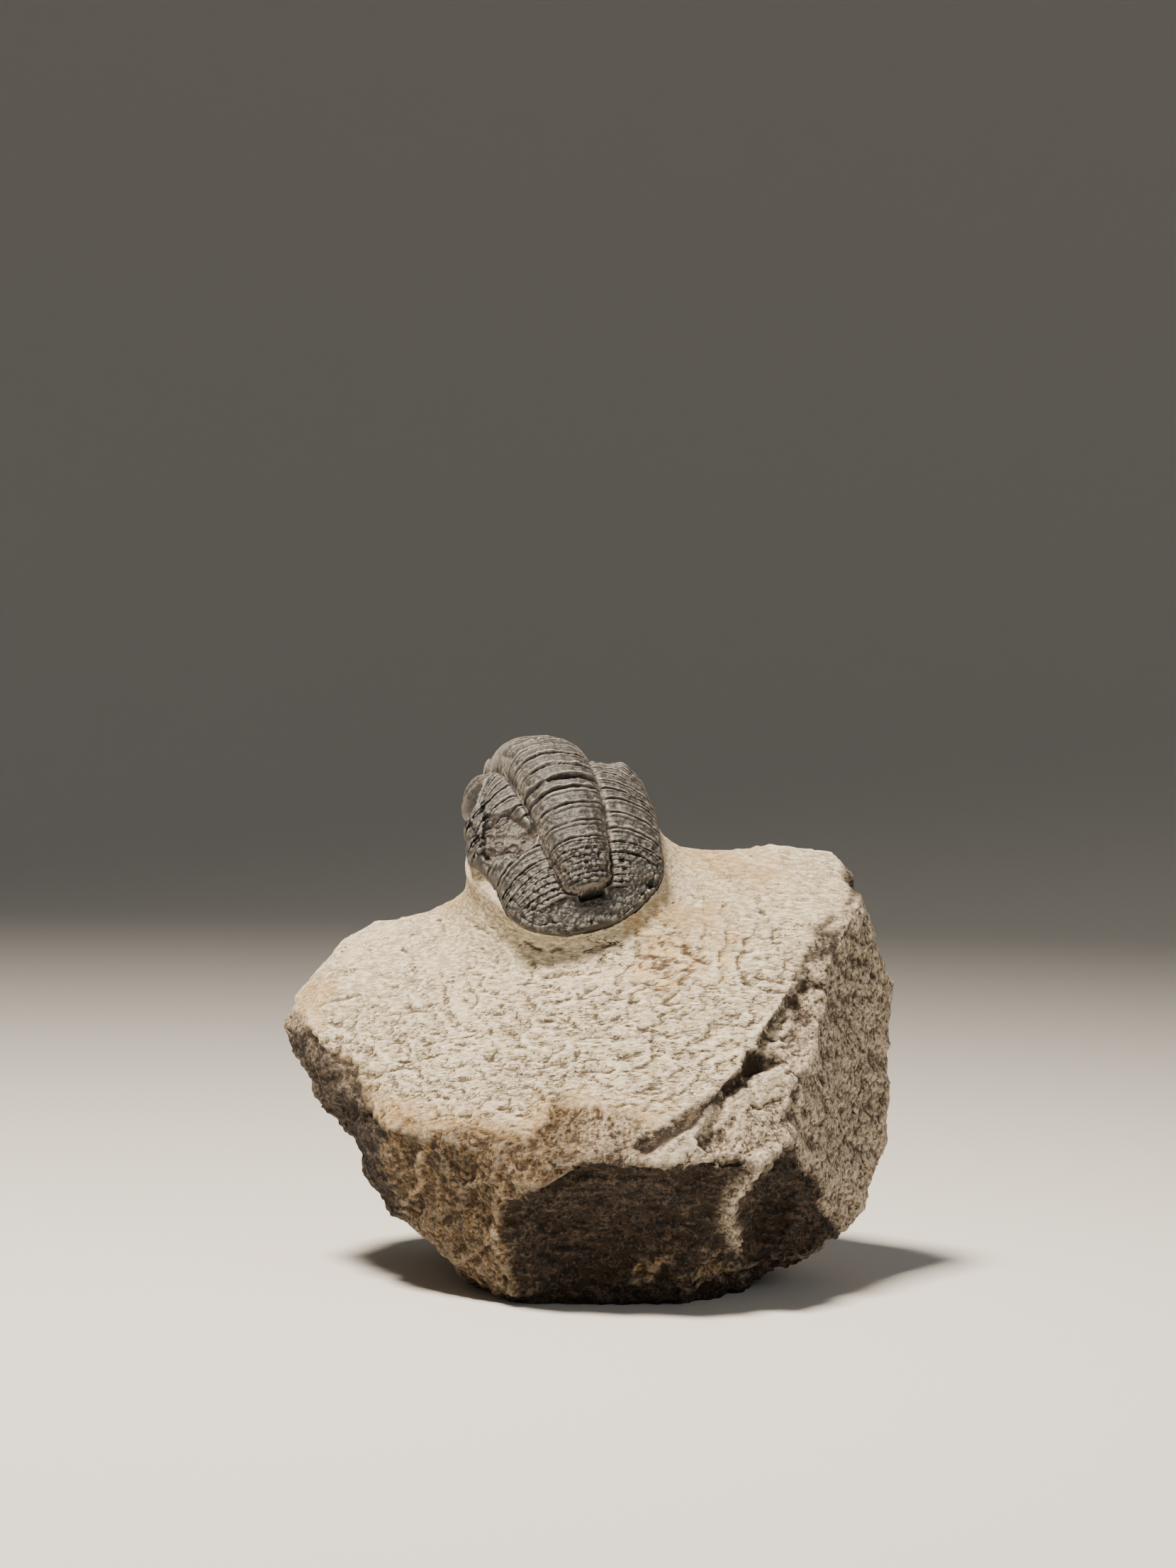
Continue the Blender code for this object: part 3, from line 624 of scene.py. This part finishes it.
TAN_LEFT = ((-17.3, 51.6), (-15.0, 52.1), (-14.0, 49.8), (-15.8, 47.0), (-17.7, 46.4), (-18.7, 49.2))
TAN_TAIL = ((2.9, 47.0), (8.0, 48.5), (16.3, 49.6), (19.7, 46.0), (15.0, 44.4), (10.3, 46.7))
TAN_TIP = ((-37.9, 35.7), (-33.8, 38.1), (-31.5, 37.7), (-34.2, 33.9), (-35.7, 32.0), (-38.8, 31.9))
FACET = (
    (20.5, 11.0), (24.6, 15.8), (27.8, 20.3), (29.7, 15.9), (32.4, 13.3), (33.2, 9.4), (35.1, 7.6), (35.6, 5.9),
    (29.7, 3.3), (21.7, 1.7),
)
FIN = ((32.6, 13.1), (33.2, 9.4), (35.1, 7.6), (35.8, 6.0), (36.5, 6.2), (37.1, 9.3), (36.9, 11.2))
LEFT_STRIP = (
    (-38.8, 31.9), (-35.7, 32.0), (-29.3, 27.5), (-26.8, 20.6), (-26.2, 15.4), (-24.8, 11.7), (-22.3, 7.6),
    (-24, 4), (-44, 4),
)
RIDGES = (
    (0.9, 0.9, ((-9.6, 11.2), (-10.2, 8.4), (-10.1, 4.6), (-9.1, 0.9), (-7.9, -1.8))),
    (0.6, 0.8, ((-19.8, 18.4), (-20.2, 15.6), (-20.6, 11.8), (-23.3, 8.5))),
    (1.1, 0.9, ((27.8, 19.6), (24.6, 15.8), (20.5, 11.0), (20.1, 7.7), (21.8, 4.3))),
)
SLITS = (
    ((-7.3, 43.9), (-5.2, 43.1)), ((24.0, 49.1), (25.3, 46.1)), ((21.9, 39.7), (23.8, 39.6)),
    ((25.0, 39.7), (26.4, 39.7)), ((-23.0, 35.1), (-19.7, 34.7)), ((-18.6, 46.9), (-18.1, 45.5)),
    ((-23.4, 42.9), (-23.0, 42.6)), ((-8.0, 34.1), (-6.4, 33.4)), ((-11.6, 28.4), (-10.5, 29.8)),
    ((-10.3, 32.4), (-8.5, 32.2)), ((20.2, 43.6), (22.5, 43.6)), ((13.3, 39.3), (14.3, 38.4)),
    ((11.5, 36.9), (13.8, 38.4)), ((0.0, 30.1), (-0.4, 28.7)), ((-7.0, 31.5), (-5.1, 30.4)),
    ((-17.1, 23.1), (-15.7, 21.8)), ((-8.7, 23.3), (-8.7, 21.9)), ((14.3, 35.1), (13.0, 34.6)),
    ((6.2, 25.1), (6.6, 24.8)), ((2.6, 38.5), (1.2, 38.0)), ((-14.3, 40.5), (-13.8, 40.2)),
    ((-15.1, 36.2), (-14.6, 36.0)), ((3.5, 37.6), (4.0, 37.4)),
)
RIGHT_CHIPS = (
    (35.4, 53.8), (36.3, 52.4), (35.4, 50.5), (31.1, 46.2), (34.1, 46.1), (33.3, 44.2), (31.4, 44.4),
    (29.1, 40.6), (28.3, 37.3), (29.1, 34.5), (28.4, 31.7),
)
TAN_PATCHES = (
    ((7.7, 0.4), (8.6, 2.1), (12.8, 3.1), (11.4, 1.4), (8.7, 0.4)),
    ((13.8, 0.6), (17.5, 1.6), (23.5, 3.6), (22.2, 1.2), (19.9, -0.2), (14.8, -1.5)),
)
TAN_FOOT = ((-27.8, 23.3), (-20.8, 21.6), (-14.2, 19.9), (-12.3, 19.0), (-20.7, 18.4), (-26.3, 18.2))

# Where each vertex is as seen from the front, and how much of each mark lies on it
places = vertex_places(stone)
normals = vertex_normals(stone)
seen_larger = SEEN_FROM[1] / (SEEN_FROM[1] - places[:, 1])
across = SEEN_FROM[0] + (places[:, 0] - SEEN_FROM[0]) * seen_larger
up = SEEN_FROM[2] + (places[:, 2] - SEEN_FROM[2]) * seen_larger
wide = fractal(places, 9.0, 3)
ragged = fractal(places, 3.2, 3, 4.0)
broken_edge = 0.9 * ragged + 0.8 * fractal(places, 1.1, 2, 7.0)
faces_front = np.clip((0.35 - normals[:, 1]) * 3, 0, 1)
faces_slope = np.clip((normals @ SLOPE_NORMAL - 0.45 + 0.2 * ragged) * 5, 0, 1)
_, from_margin, _, _ = seen_from_margin(places)
near_fossil = np.clip((20 - np.linalg.norm(places - PEAK, axis=1)) / 3, 0, 1) * (places[:, 2] > 45)
near_fossil = np.maximum(near_fossil, np.clip((9 - from_margin) / 3, 0, 1))


def within(outline, waver, soft):
    """1 inside the outline, 0 outside it; its border is this soft and strays by about this many mm."""
    return np.clip((inside(outline, across, up) + waver * broken_edge) / soft + 0.5, 0, 1)


def stain(outline, soft):
    """How strongly a stain with this outline shows, from 0 to 1."""
    return within(outline, 2.2, soft) * faces_front


from_dressed = inside(DRESSED, across, up)
dressed = np.clip(within(DRESSED, 1.0, 0.9) * np.maximum(faces_slope, near_fossil), 0, 1)
on_ledge = within(LEDGE_FACE, 0.7, 0.8) * faces_front
on_cliff = within(LEDGE_CLIFF, 0.7, 0.8) * faces_front
in_facet = within(FACET, 0.4, 0.8) * faces_front
on_fin = within(FIN, 0.3, 0.6) * faces_front
in_strip = within(LEFT_STRIP, 1.2, 2.0) * np.clip(0.9 - normals[:, 1] * 1.6, 0, 1)
in_scoop = within(SCOOP, 0.7, 0.9) * faces_front * (1 - in_facet) * (1 - on_fin)
on_ridge = np.zeros(len(places))
for rise, breadth, line in RIDGES:
    from_ridge = away_from(line, across + 0.4 * broken_edge, up)
    on_ridge = np.maximum(on_ridge, rise * bell(from_ridge, breadth) * faces_front)
slit_near = np.min([away_from(line, across + 0.5 * broken_edge, up + 0.3 * ragged) for line in SLITS], axis=0)
in_slit = bell(slit_near, 0.32) * faces_front * np.clip(0.7 + 1.5 * ragged, 0, 1)
from_chips = away_from(RIGHT_CHIPS, across + 0.8 * broken_edge, up)
edge_chip = bell(from_chips, 1.0) * faces_front * np.clip(1.1 + 1.6 * ragged, 0.3, 1)
iron = stain(IRON, 2.5)

# Broken faces: wide lumps, flat chips and a granular skin. Dressed stone: shallow waves and short tool marks.
_, chip_tilt, chip_number = grains(places, 7.0, 11)
_, grain_tilt, _ = grains(places, 2.2, 12)
gritty = fractal(places, 1.6, 4, 1.0)
rough = 1.1 * wide + 0.9 * chip_tilt + 0.25 * (chip_number - 0.5) + 0.2 * grain_tilt + 0.4 * gritty - 0.6
rough += 0.5 * fractal(places, 4.0, 5, 21.0)
streaks = fractal(places * (0.4, 1, 1.5), 1.8, 3, 2.0)
rough += (0.8 * streaks + 0.35 * gritty) * np.maximum(in_scoop, 0.7 * in_facet)
rough += 0.3 + 0.2 * on_ledge + on_ridge - 0.7 * in_scoop - 0.9 * on_cliff
rough = rough * (1 - 0.6 * on_ledge) + 0.25 * on_ledge
coarse = np.clip((44 - up) / 14 + (across + 22) / 60, 0.15, 1)
tool_places = places * (0.4, 0.8, 1.2) + 0.5 * np.stack([ragged, ragged, wide], 1)
_, tool_tilt, _ = grains(tool_places, 0.8, 14)
torn = np.clip(fractal(places * (0.45, 1, 1.2), 1.8, 4, 9.0) * 1.8 - 0.4, 0, 1) * coarse
waves = fractal(places * (0.5, 1, 1.3), 5.0, 2, 12.0)
smooth = 0.35 * fractal(places, 14.0, 2) + 0.25 * waves * coarse + 0.12 * tool_tilt + 0.14 * gritty * coarse
smooth -= 0.6 * torn

# Each pass of the scribe round the tail left a shallow scalloped step
from_tail = np.hypot(across - 2.0, up - 47.0) / 4.2 + 1.1 * wide + 0.35 * ragged
scallop = from_tail - np.floor(from_tail)
smooth += 0.34 * (scallop - 0.5) * np.clip(coarse * 1.3, 0.3, 1) * np.clip((1 - scallop) * 9, 0, 1)
smooth -= 0.45 * in_slit + 0.4 * edge_chip + np.clip(0.5 * torn + 0.5 * gritty, 0, 1) * iron

# The slope's right corner is smoother, and its edge is a softer step in the form than in the colour. Near the
# fossil nothing rises, and a fine groove runs along its margin.
right_corner = np.clip(1.3 - np.hypot((across - 31.5) / 5.0, (up - 51.0) / 5.5), 0, 1)
smooth = smooth * (1 - 0.75 * np.clip(right_corner * 2, 0, 1))
form_edge = np.clip((from_dressed + broken_edge) / 1.8 + 0.6, 0, 1)
formed = np.clip(form_edge * np.maximum(faces_slope, near_fossil), 0, 1)
raise_by = rough + (smooth - rough) * formed
raise_by *= np.clip(from_margin / 3, 0.25, 1)
raise_by -= 0.25 * bell(from_margin - 0.2, 0.35) * (places[:, 2] > 40)
places = places + normals * raise_by[:, None]

# Where the rock would come through the shell, it is pressed down under it
shell_tree = BVHTree.FromPolygons([v.co for v in shell.data.vertices], [p.vertices for p in shell.data.polygons])
body_up = Vector(margin_up[0] + margin_up[len(margin_up) // 2])
for i in np.nonzero((from_margin < 14) & (places[:, 2] > 42))[0]:
    point = Vector(places[i] * MM)
    found, way, _, _ = shell_tree.find_nearest(point, 0.008)
    if found is not None:
        above = (point - found).dot(way) / MM
        if -0.7 < above < 0.05 and way.dot(body_up) > 0:
            places[i] -= np.array(way) * (0.7 + above)
stone.data.vertices.foreach_set("co", (places * MM).ravel())
stone.data.update()


def neighbour_mean(values, edges):
    """The mean of each vertex's neighbours."""
    total = np.zeros_like(values)
    np.add.at(total, edges[:, 0], values[edges[:, 1]])
    np.add.at(total, edges[:, 1], values[edges[:, 0]])
    count = np.bincount(edges.ravel(), minlength=len(values)).reshape(-1, *[1] * (values.ndim - 1))
    return total / np.maximum(count, 1)


# Pits and ridges of the stone, fine and wide, for the painted shade in its pits and painted highlight on its ridges
edge_flat = np.empty(len(stone.data.edges) * 2, int)
stone.data.edges.foreach_get("vertices", edge_flat)
edge_pairs = edge_flat.reshape(-1, 2)
normals = vertex_normals(stone)
softer = neighbour_mean(places, edge_pairs)
fine_hollow = ((softer - places) * normals).sum(1)
for _ in range(7):
    softer = neighbour_mean(softer, edge_pairs)
wide_hollow = ((softer - places) * normals).sum(1)

# Where each colour lies: the tan border, stains and foot, brown weathering at the lower left, and painted shade
low_left = np.clip((30 - up) / 6, 0, 1) * np.clip((14 - across) / 4, 0, 1)
low_edge = bell(from_dressed + 1.2 * broken_edge, 2.0) * low_left
tan_stains = (
    (0.8, TAN_RIGHT, 4.0), (0.6, TAN_LEFT, 3.0), (0.9, TAN_TAIL, 3.0), (0.9, TAN_TIP, 2.0),
    (1.0, TAN_FOOT, 3.0),
)
tan = np.max([*(strength * stain(outline, soft) for strength, outline, soft in tan_stains), low_edge], axis=0)
brown = np.clip((11.0 - places[:, 0]) / 12.0 + 0.35 * wide, 0, 1) * np.clip((36 - up) / 8, 0, 1)
# Painted shade: scoop, cliff, flat face, left strip and chips; more low down on the brown stone; none on ridges
painted_shade = np.max([in_scoop, 0.9 * on_cliff, in_facet, 0.8 * in_strip, 0.95 * edge_chip], axis=0)
low_patchy_shade = np.clip((23 - up) / 4, 0, 1) + np.clip(0.2 + 1.2 * ragged, 0, 1)
painted_shade += 0.35 * brown * low_patchy_shade * (1 - in_scoop) - 0.7 * on_ridge
bare_tan = np.max([stain(patch, 1.2) for patch in TAN_PATCHES], axis=0)
cover = np.clip(dressed * (1 - 0.7 * low_edge * np.clip(0.5 + ragged, 0, 1)) + 0.55 * on_ledge, 0, 1)
keep_on_mesh(stone, "dressed", cover * (1 - 0.9 * edge_chip) * (1 - 0.6 * in_slit) * (1 - 0.9 * on_cliff))
keep_on_mesh(stone, "brown", np.clip(brown * (1 - in_strip) + bare_tan, 0, 1))
keep_on_mesh(stone, "iron", iron)
keep_on_mesh(stone, "tan", tan)
keep_on_mesh(stone, "painted_shade", np.clip(painted_shade * (1 - bare_tan) * (1 - on_fin), 0, 1))
keep_on_mesh(stone, "hollow", np.clip(fine_hollow * 8 + wide_hollow * 2.2, -1, 1))
keep_on_mesh(stone, "coarse", coarse)

# The face that it stands on is cut flat
bpy.ops.object.select_all(action="DESELECT")
stone.select_set(True)
bpy.context.view_layer.objects.active = stone
bpy.ops.object.mode_set(mode="EDIT")
bpy.ops.mesh.select_all(action="SELECT")
bpy.ops.mesh.bisect(plane_co=(0, 0, 0), plane_no=(0, 0, 1), use_fill=True, clear_inner=True, threshold=0.000001)
bpy.ops.object.mode_set(mode="OBJECT")
bpy.ops.object.shade_smooth()

# Fine-grained limestone. Fresh from the tool it is pale and chalky, with whiter bruises, dark pits and thin
# curling tears; where it broke long ago it is brown and sparkles with grains of 0.3-0.5 mm; iron has stained
# one patch orange. Strokes and seams are stretched along the way the tool and the beds run.
limestone = bpy.data.materials.new("limestone")
limestone.use_nodes = True
tree = limestone.node_tree
shader = tree.nodes["Principled BSDF"]
place = add_node(tree, "TexCoord").outputs["Object"]
stroke_place = add_node(tree, "Mapping", {"Scale": (0.4, 0.8, 1.3), "Vector": place}).outputs[0]
seam_stretch = {"Scale": (0.25, 0.6, 1.2), "Rotation": (0, 0.15, 0), "Vector": place}
seam_place = add_node(tree, "Mapping", seam_stretch).outputs[0]
patterns = {}
for name, size, detail, roughness, stretched in (
    ("cloud", 9.0, 4.0, 0.6, place),
    ("patches", 2.6, 3.0, 0.6, place),
    ("strokes", 0.5, 4.0, 0.7, stroke_place),
    ("curls", 0.95, 3.0, 0.6, stroke_place),
    ("grit", 0.5, 4.0, 0.75, place),
    ("specks", 0.45, 3.0, 0.6, stroke_place),
    ("seams", 0.9, 4.0, 0.65, seam_place),
):
    settings = {"Scale": 1000 / size, "Detail": detail, "Roughness": roughness, "Vector": stretched}
    patterns[name] = add_node(tree, "TexNoise", settings).outputs[0]
crystals = add_node(tree, "TexVoronoi", {"Scale": 1000 / 0.42, "Vector": place}).outputs["Color"]
marks = {}
for name in ("dressed", "brown", "iron", "tan", "painted_shade", "coarse", "hollow"):
    marks[name] = add_node(tree, "Attribute", {"attribute_name": name}).outputs["Fac"]

# Where each tint of the dressed stone shows: white bruises, dark specks, more of them where the dressing is
# coarse, curling tears in patches, the tan border and the iron stain
bruise = add_node(tree, "MapRange", {VALUE: patterns["strokes"], FROM_LOW: 0.43, FROM_HIGH: 0.65}).outputs[0]
speck_from = add_node(tree, "MapRange", {VALUE: marks["coarse"], TO_LOW: 0.3, TO_HIGH: 0.445}).outputs[0]
speck_to = add_node(tree, "Math", {"operation": "SUBTRACT", 0: speck_from, 1: 0.06}).outputs[0]
speck = {VALUE: patterns["specks"], FROM_LOW: speck_from, FROM_HIGH: speck_to, TO_HIGH: 0.85}
curl_level = add_node(tree, "Math", {"operation": "SUBTRACT", 0: patterns["curls"], 1: 0.5}).outputs[0]
curl_away = add_node(tree, "Math", {"operation": "ABSOLUTE", 0: curl_level}).outputs[0]
curl_line = add_node(tree, "MapRange", {VALUE: curl_away, FROM_LOW: 0.024, FROM_HIGH: 0.008}).outputs[0]
curl_from = add_node(tree, "MapRange", {VALUE: marks["coarse"], TO_LOW: 0.58, TO_HIGH: 0.44}).outputs[0]
curl_to = add_node(tree, "Math", {"operation": "ADD", 0: curl_from, 1: 0.06}).outputs[0]
curl_range = {VALUE: patterns["patches"], FROM_LOW: curl_from, FROM_HIGH: curl_to}
curl_patch = add_node(tree, "MapRange", curl_range).outputs[0]
rust_spot = add_node(tree, "MapRange", {VALUE: patterns["seams"], FROM_LOW: 0.54, FROM_HIGH: 0.42}).outputs[0]
rusts = {"data_type": "RGBA", SHARE: rust_spot, UNDER: "#dcbc86", OVER: "#4a2d12"}
rust = add_node(tree, "Mix", rusts).outputs[MIXED]
cloud_tone = add_node(tree, "MapRange", {VALUE: patterns["cloud"], FROM_LOW: 0.35, FROM_HIGH: 0.65}).outputs[0]
chalks = {"data_type": "RGBA", SHARE: cloud_tone, UNDER: "#978a70", OVER: "#c0b294"}
dressed_colour = add_node(tree, "Mix", chalks).outputs[MIXED]
for share, tint in (
    (bruise, "#faecd0"),
    (add_node(tree, "MapRange", speck).outputs[0], "#54452f"),
    (add_node(tree, "Math", {"operation": "MULTIPLY", 0: curl_line, 1: curl_patch}).outputs[0], "#3e3222"),
    (add_node(tree, "Math", {"operation": "MULTIPLY", 0: marks["tan"], 1: 0.6}).outputs[0], "#b08a4e"),
    (add_node(tree, "Math", {"operation": "MULTIPLY", 0: marks["iron"], 1: 0.75}).outputs[0], rust),
):
    layer = {"data_type": "RGBA", SHARE: share, UNDER: dressed_colour, OVER: tint}
    dressed_colour = add_node(tree, "Mix", layer).outputs[MIXED]

# The grains of the broken faces: each its own shade, over a finer grit. Floats mix by the sockets 2 and 3.
crystal_tone = add_node(tree, "MapRange", {VALUE: crystals, FROM_LOW: 0.35, FROM_HIGH: 0.7}).outputs[0]
grit_tone = add_node(tree, "MapRange", {VALUE: patterns["grit"], FROM_LOW: 0.43, FROM_HIGH: 0.59}).outputs[0]
seam_tone = add_node(tree, "MapRange", {VALUE: patterns["seams"], FROM_LOW: 0.4, FROM_HIGH: 0.64}).outputs[0]
grain_tone = add_node(tree, "Mix", {"data_type": "FLOAT", SHARE: 0.45, 2: grit_tone, 3: crystal_tone}).outputs[0]
shade_grain = add_node(tree, "Mix", {"data_type": "FLOAT", SHARE: 0.4, 2: grain_tone, 3: seam_tone}).outputs[0]
shade_tone = add_node(tree, "MapRange", {VALUE: shade_grain, FROM_LOW: 0.35, FROM_HIGH: 0.8}).outputs[0]
broken_stones = []
for share, deep, pale in (
    (grain_tone, "#3b3127", "#dccab0"),
    (grain_tone, "#22150a", "#a68a62"),
    # the stone colour of the painted shade, near black to dark brown
    (shade_tone, "#070402", "#5a493a"),
):
    layer = {"data_type": "RGBA", SHARE: share, UNDER: deep, OVER: pale}
    broken_stones.append(add_node(tree, "Mix", layer).outputs[MIXED])
colour, brown_stone, shaded_stone = broken_stones

# Grey stone goes brown and then into painted shade by its marks, and the dressed stone covers it; pits get painted
# shade and ridges a painted highlight
ridge_highlight = add_node(tree, "MapRange", {VALUE: marks["hollow"], FROM_LOW: -0.15, FROM_HIGH: -0.9}).outputs[0]
ridge_most = add_node(tree, "MapRange", {VALUE: marks["dressed"], TO_LOW: 0.15, TO_HIGH: 0.5}).outputs[0]
ridge_clean = add_node(tree, "MapRange", {VALUE: marks["painted_shade"], TO_LOW: 1.0, TO_HIGH: 0.05}).outputs[0]
ridge_limit = add_node(tree, "Math", {"operation": "MULTIPLY", 0: ridge_most, 1: ridge_clean}).outputs[0]
pit_shade = {VALUE: marks["hollow"], FROM_LOW: 0.16, FROM_HIGH: 0.85, TO_HIGH: 0.8}
for share, tint in (
    (marks["brown"], brown_stone),
    (marks["painted_shade"], shaded_stone),
    (marks["dressed"], dressed_colour),
    # painted shade in the pits
    (add_node(tree, "MapRange", pit_shade).outputs[0], "#382b1e"),
    # painted highlight on the ridges, weaker on dressed stone and none in the painted shade
    (add_node(tree, "Math", {"operation": "MULTIPLY", 0: ridge_highlight, 1: ridge_limit}).outputs[0], "#f8eedb"),
):
    layer = {"data_type": "RGBA", SHARE: share, UNDER: colour, OVER: tint}
    colour = add_node(tree, "Mix", layer).outputs[MIXED]
tree.links.new(colour, shader.inputs["Base Color"])
shader.inputs["Roughness"].default_value = 0.92
shader.inputs["IOR"].default_value = 1.45
tool_marks = add_node(tree, "Bump", {"Strength": 0.9, "Distance": 0.0005, "Height": patterns["strokes"]}).outputs[0]
grain_skin = {"Strength": 0.8, "Distance": 0.0004, "Height": patterns["grit"], "Normal": tool_marks}
tree.links.new(add_node(tree, "Bump", grain_skin).outputs[0], shader.inputs["Normal"])
stone.data.materials.clear()
stone.data.materials.append(limestone)

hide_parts("matrix_rock")
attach(stone, "root")


# The stage: a round room of plain pale paper, whose floor curves up into its wall. Its light is soft: one lamp
# high at the front left, a weak one at the front right, and pale light from all round.

ROOM_RADIUS, ROOM_HEIGHT, COVE_RADIUS = 1.8, 1.8, 0.8
ROOM_MIDDLE = (0, 0, ROOM_HEIGHT / 2)
AIM = Vector((0, 0, 0.04))
CAMERA_ROLL = -1.4

bpy.ops.object.select_all(action="DESELECT")
bpy.ops.mesh.primitive_cylinder_add(vertices=160, radius=ROOM_RADIUS, depth=ROOM_HEIGHT, location=ROOM_MIDDLE)
floor = bpy.context.object
floor.name = "floor"
bpy.ops.object.transform_apply(location=True)
bpy.ops.object.mode_set(mode="EDIT")
bpy.ops.mesh.select_mode(type="FACE")
bpy.ops.mesh.select_all(action="DESELECT")
bpy.ops.object.mode_set(mode="OBJECT")
max(floor.data.polygons, key=lambda face: face.center.z).select = True
bpy.ops.object.mode_set(mode="EDIT")
bpy.ops.mesh.delete(type="ONLY_FACE")
bpy.ops.mesh.select_all(action="SELECT")
bpy.ops.mesh.flip_normals()
bpy.ops.object.mode_set(mode="OBJECT")
cove = floor.modifiers.new("cove", "BEVEL")
cove.width = COVE_RADIUS
cove.segments = 24
cove.limit_method = "ANGLE"
cove.angle_limit = np.radians(60)
bpy.ops.object.modifier_apply(modifier=cove.name)
bpy.ops.object.shade_smooth()

# Matt photographic paper: no gloss and no grain that shows
paper = bpy.data.materials.new("pale_floor_paper")
paper.use_nodes = True
shader = paper.node_tree.nodes["Principled BSDF"]
shader.inputs["Base Color"].default_value = linear("#d8d6d2")
shader.inputs["Roughness"].default_value = 0.9
floor.data.materials.append(paper)


def lamp(name, place, size, spread_angle, watts, colour):
    """A square soft lamp aimed at the middle of the object."""
    light = bpy.data.lights.new(name, "AREA")
    light.size = size
    light.spread = np.radians(spread_angle)
    light.energy = watts
    light.color = linear(colour)[:3]
    obj = bpy.data.objects.new(name, light)
    obj.location = place
    obj.rotation_euler = (AIM - Vector(place)).to_track_quat("-Z", "Y").to_euler()
    bpy.context.scene.collection.objects.link(obj)


lamp("key_lamp", (-0.2, -0.26, 0.74), 0.14, 90, 4.8, "#fff0dc")
lamp("fill_lamp", (0.55, -0.6, 0.5), 0.4, 60, 0.15, "#ffffff")
world = bpy.data.worlds.new("soft_room")
world.use_nodes = True
room_light = world.node_tree.nodes["Background"]
room_light.inputs["Color"].default_value = linear("#e6e4e0")
room_light.inputs["Strength"].default_value = 0.24
bpy.context.scene.world = world

# The camera looks level at the stone from where the outlines were seen, rolled a little
camera_data = bpy.data.cameras.new("camera")
camera_data.lens = 70.0
camera_data.sensor_width = 36.0
camera = bpy.data.objects.new("camera", camera_data)
camera.location = SEEN_FROM * MM
camera.rotation_euler = (np.radians(90), np.radians(CAMERA_ROLL), 0)
bpy.context.scene.collection.objects.link(camera)
bpy.context.scene.camera = camera
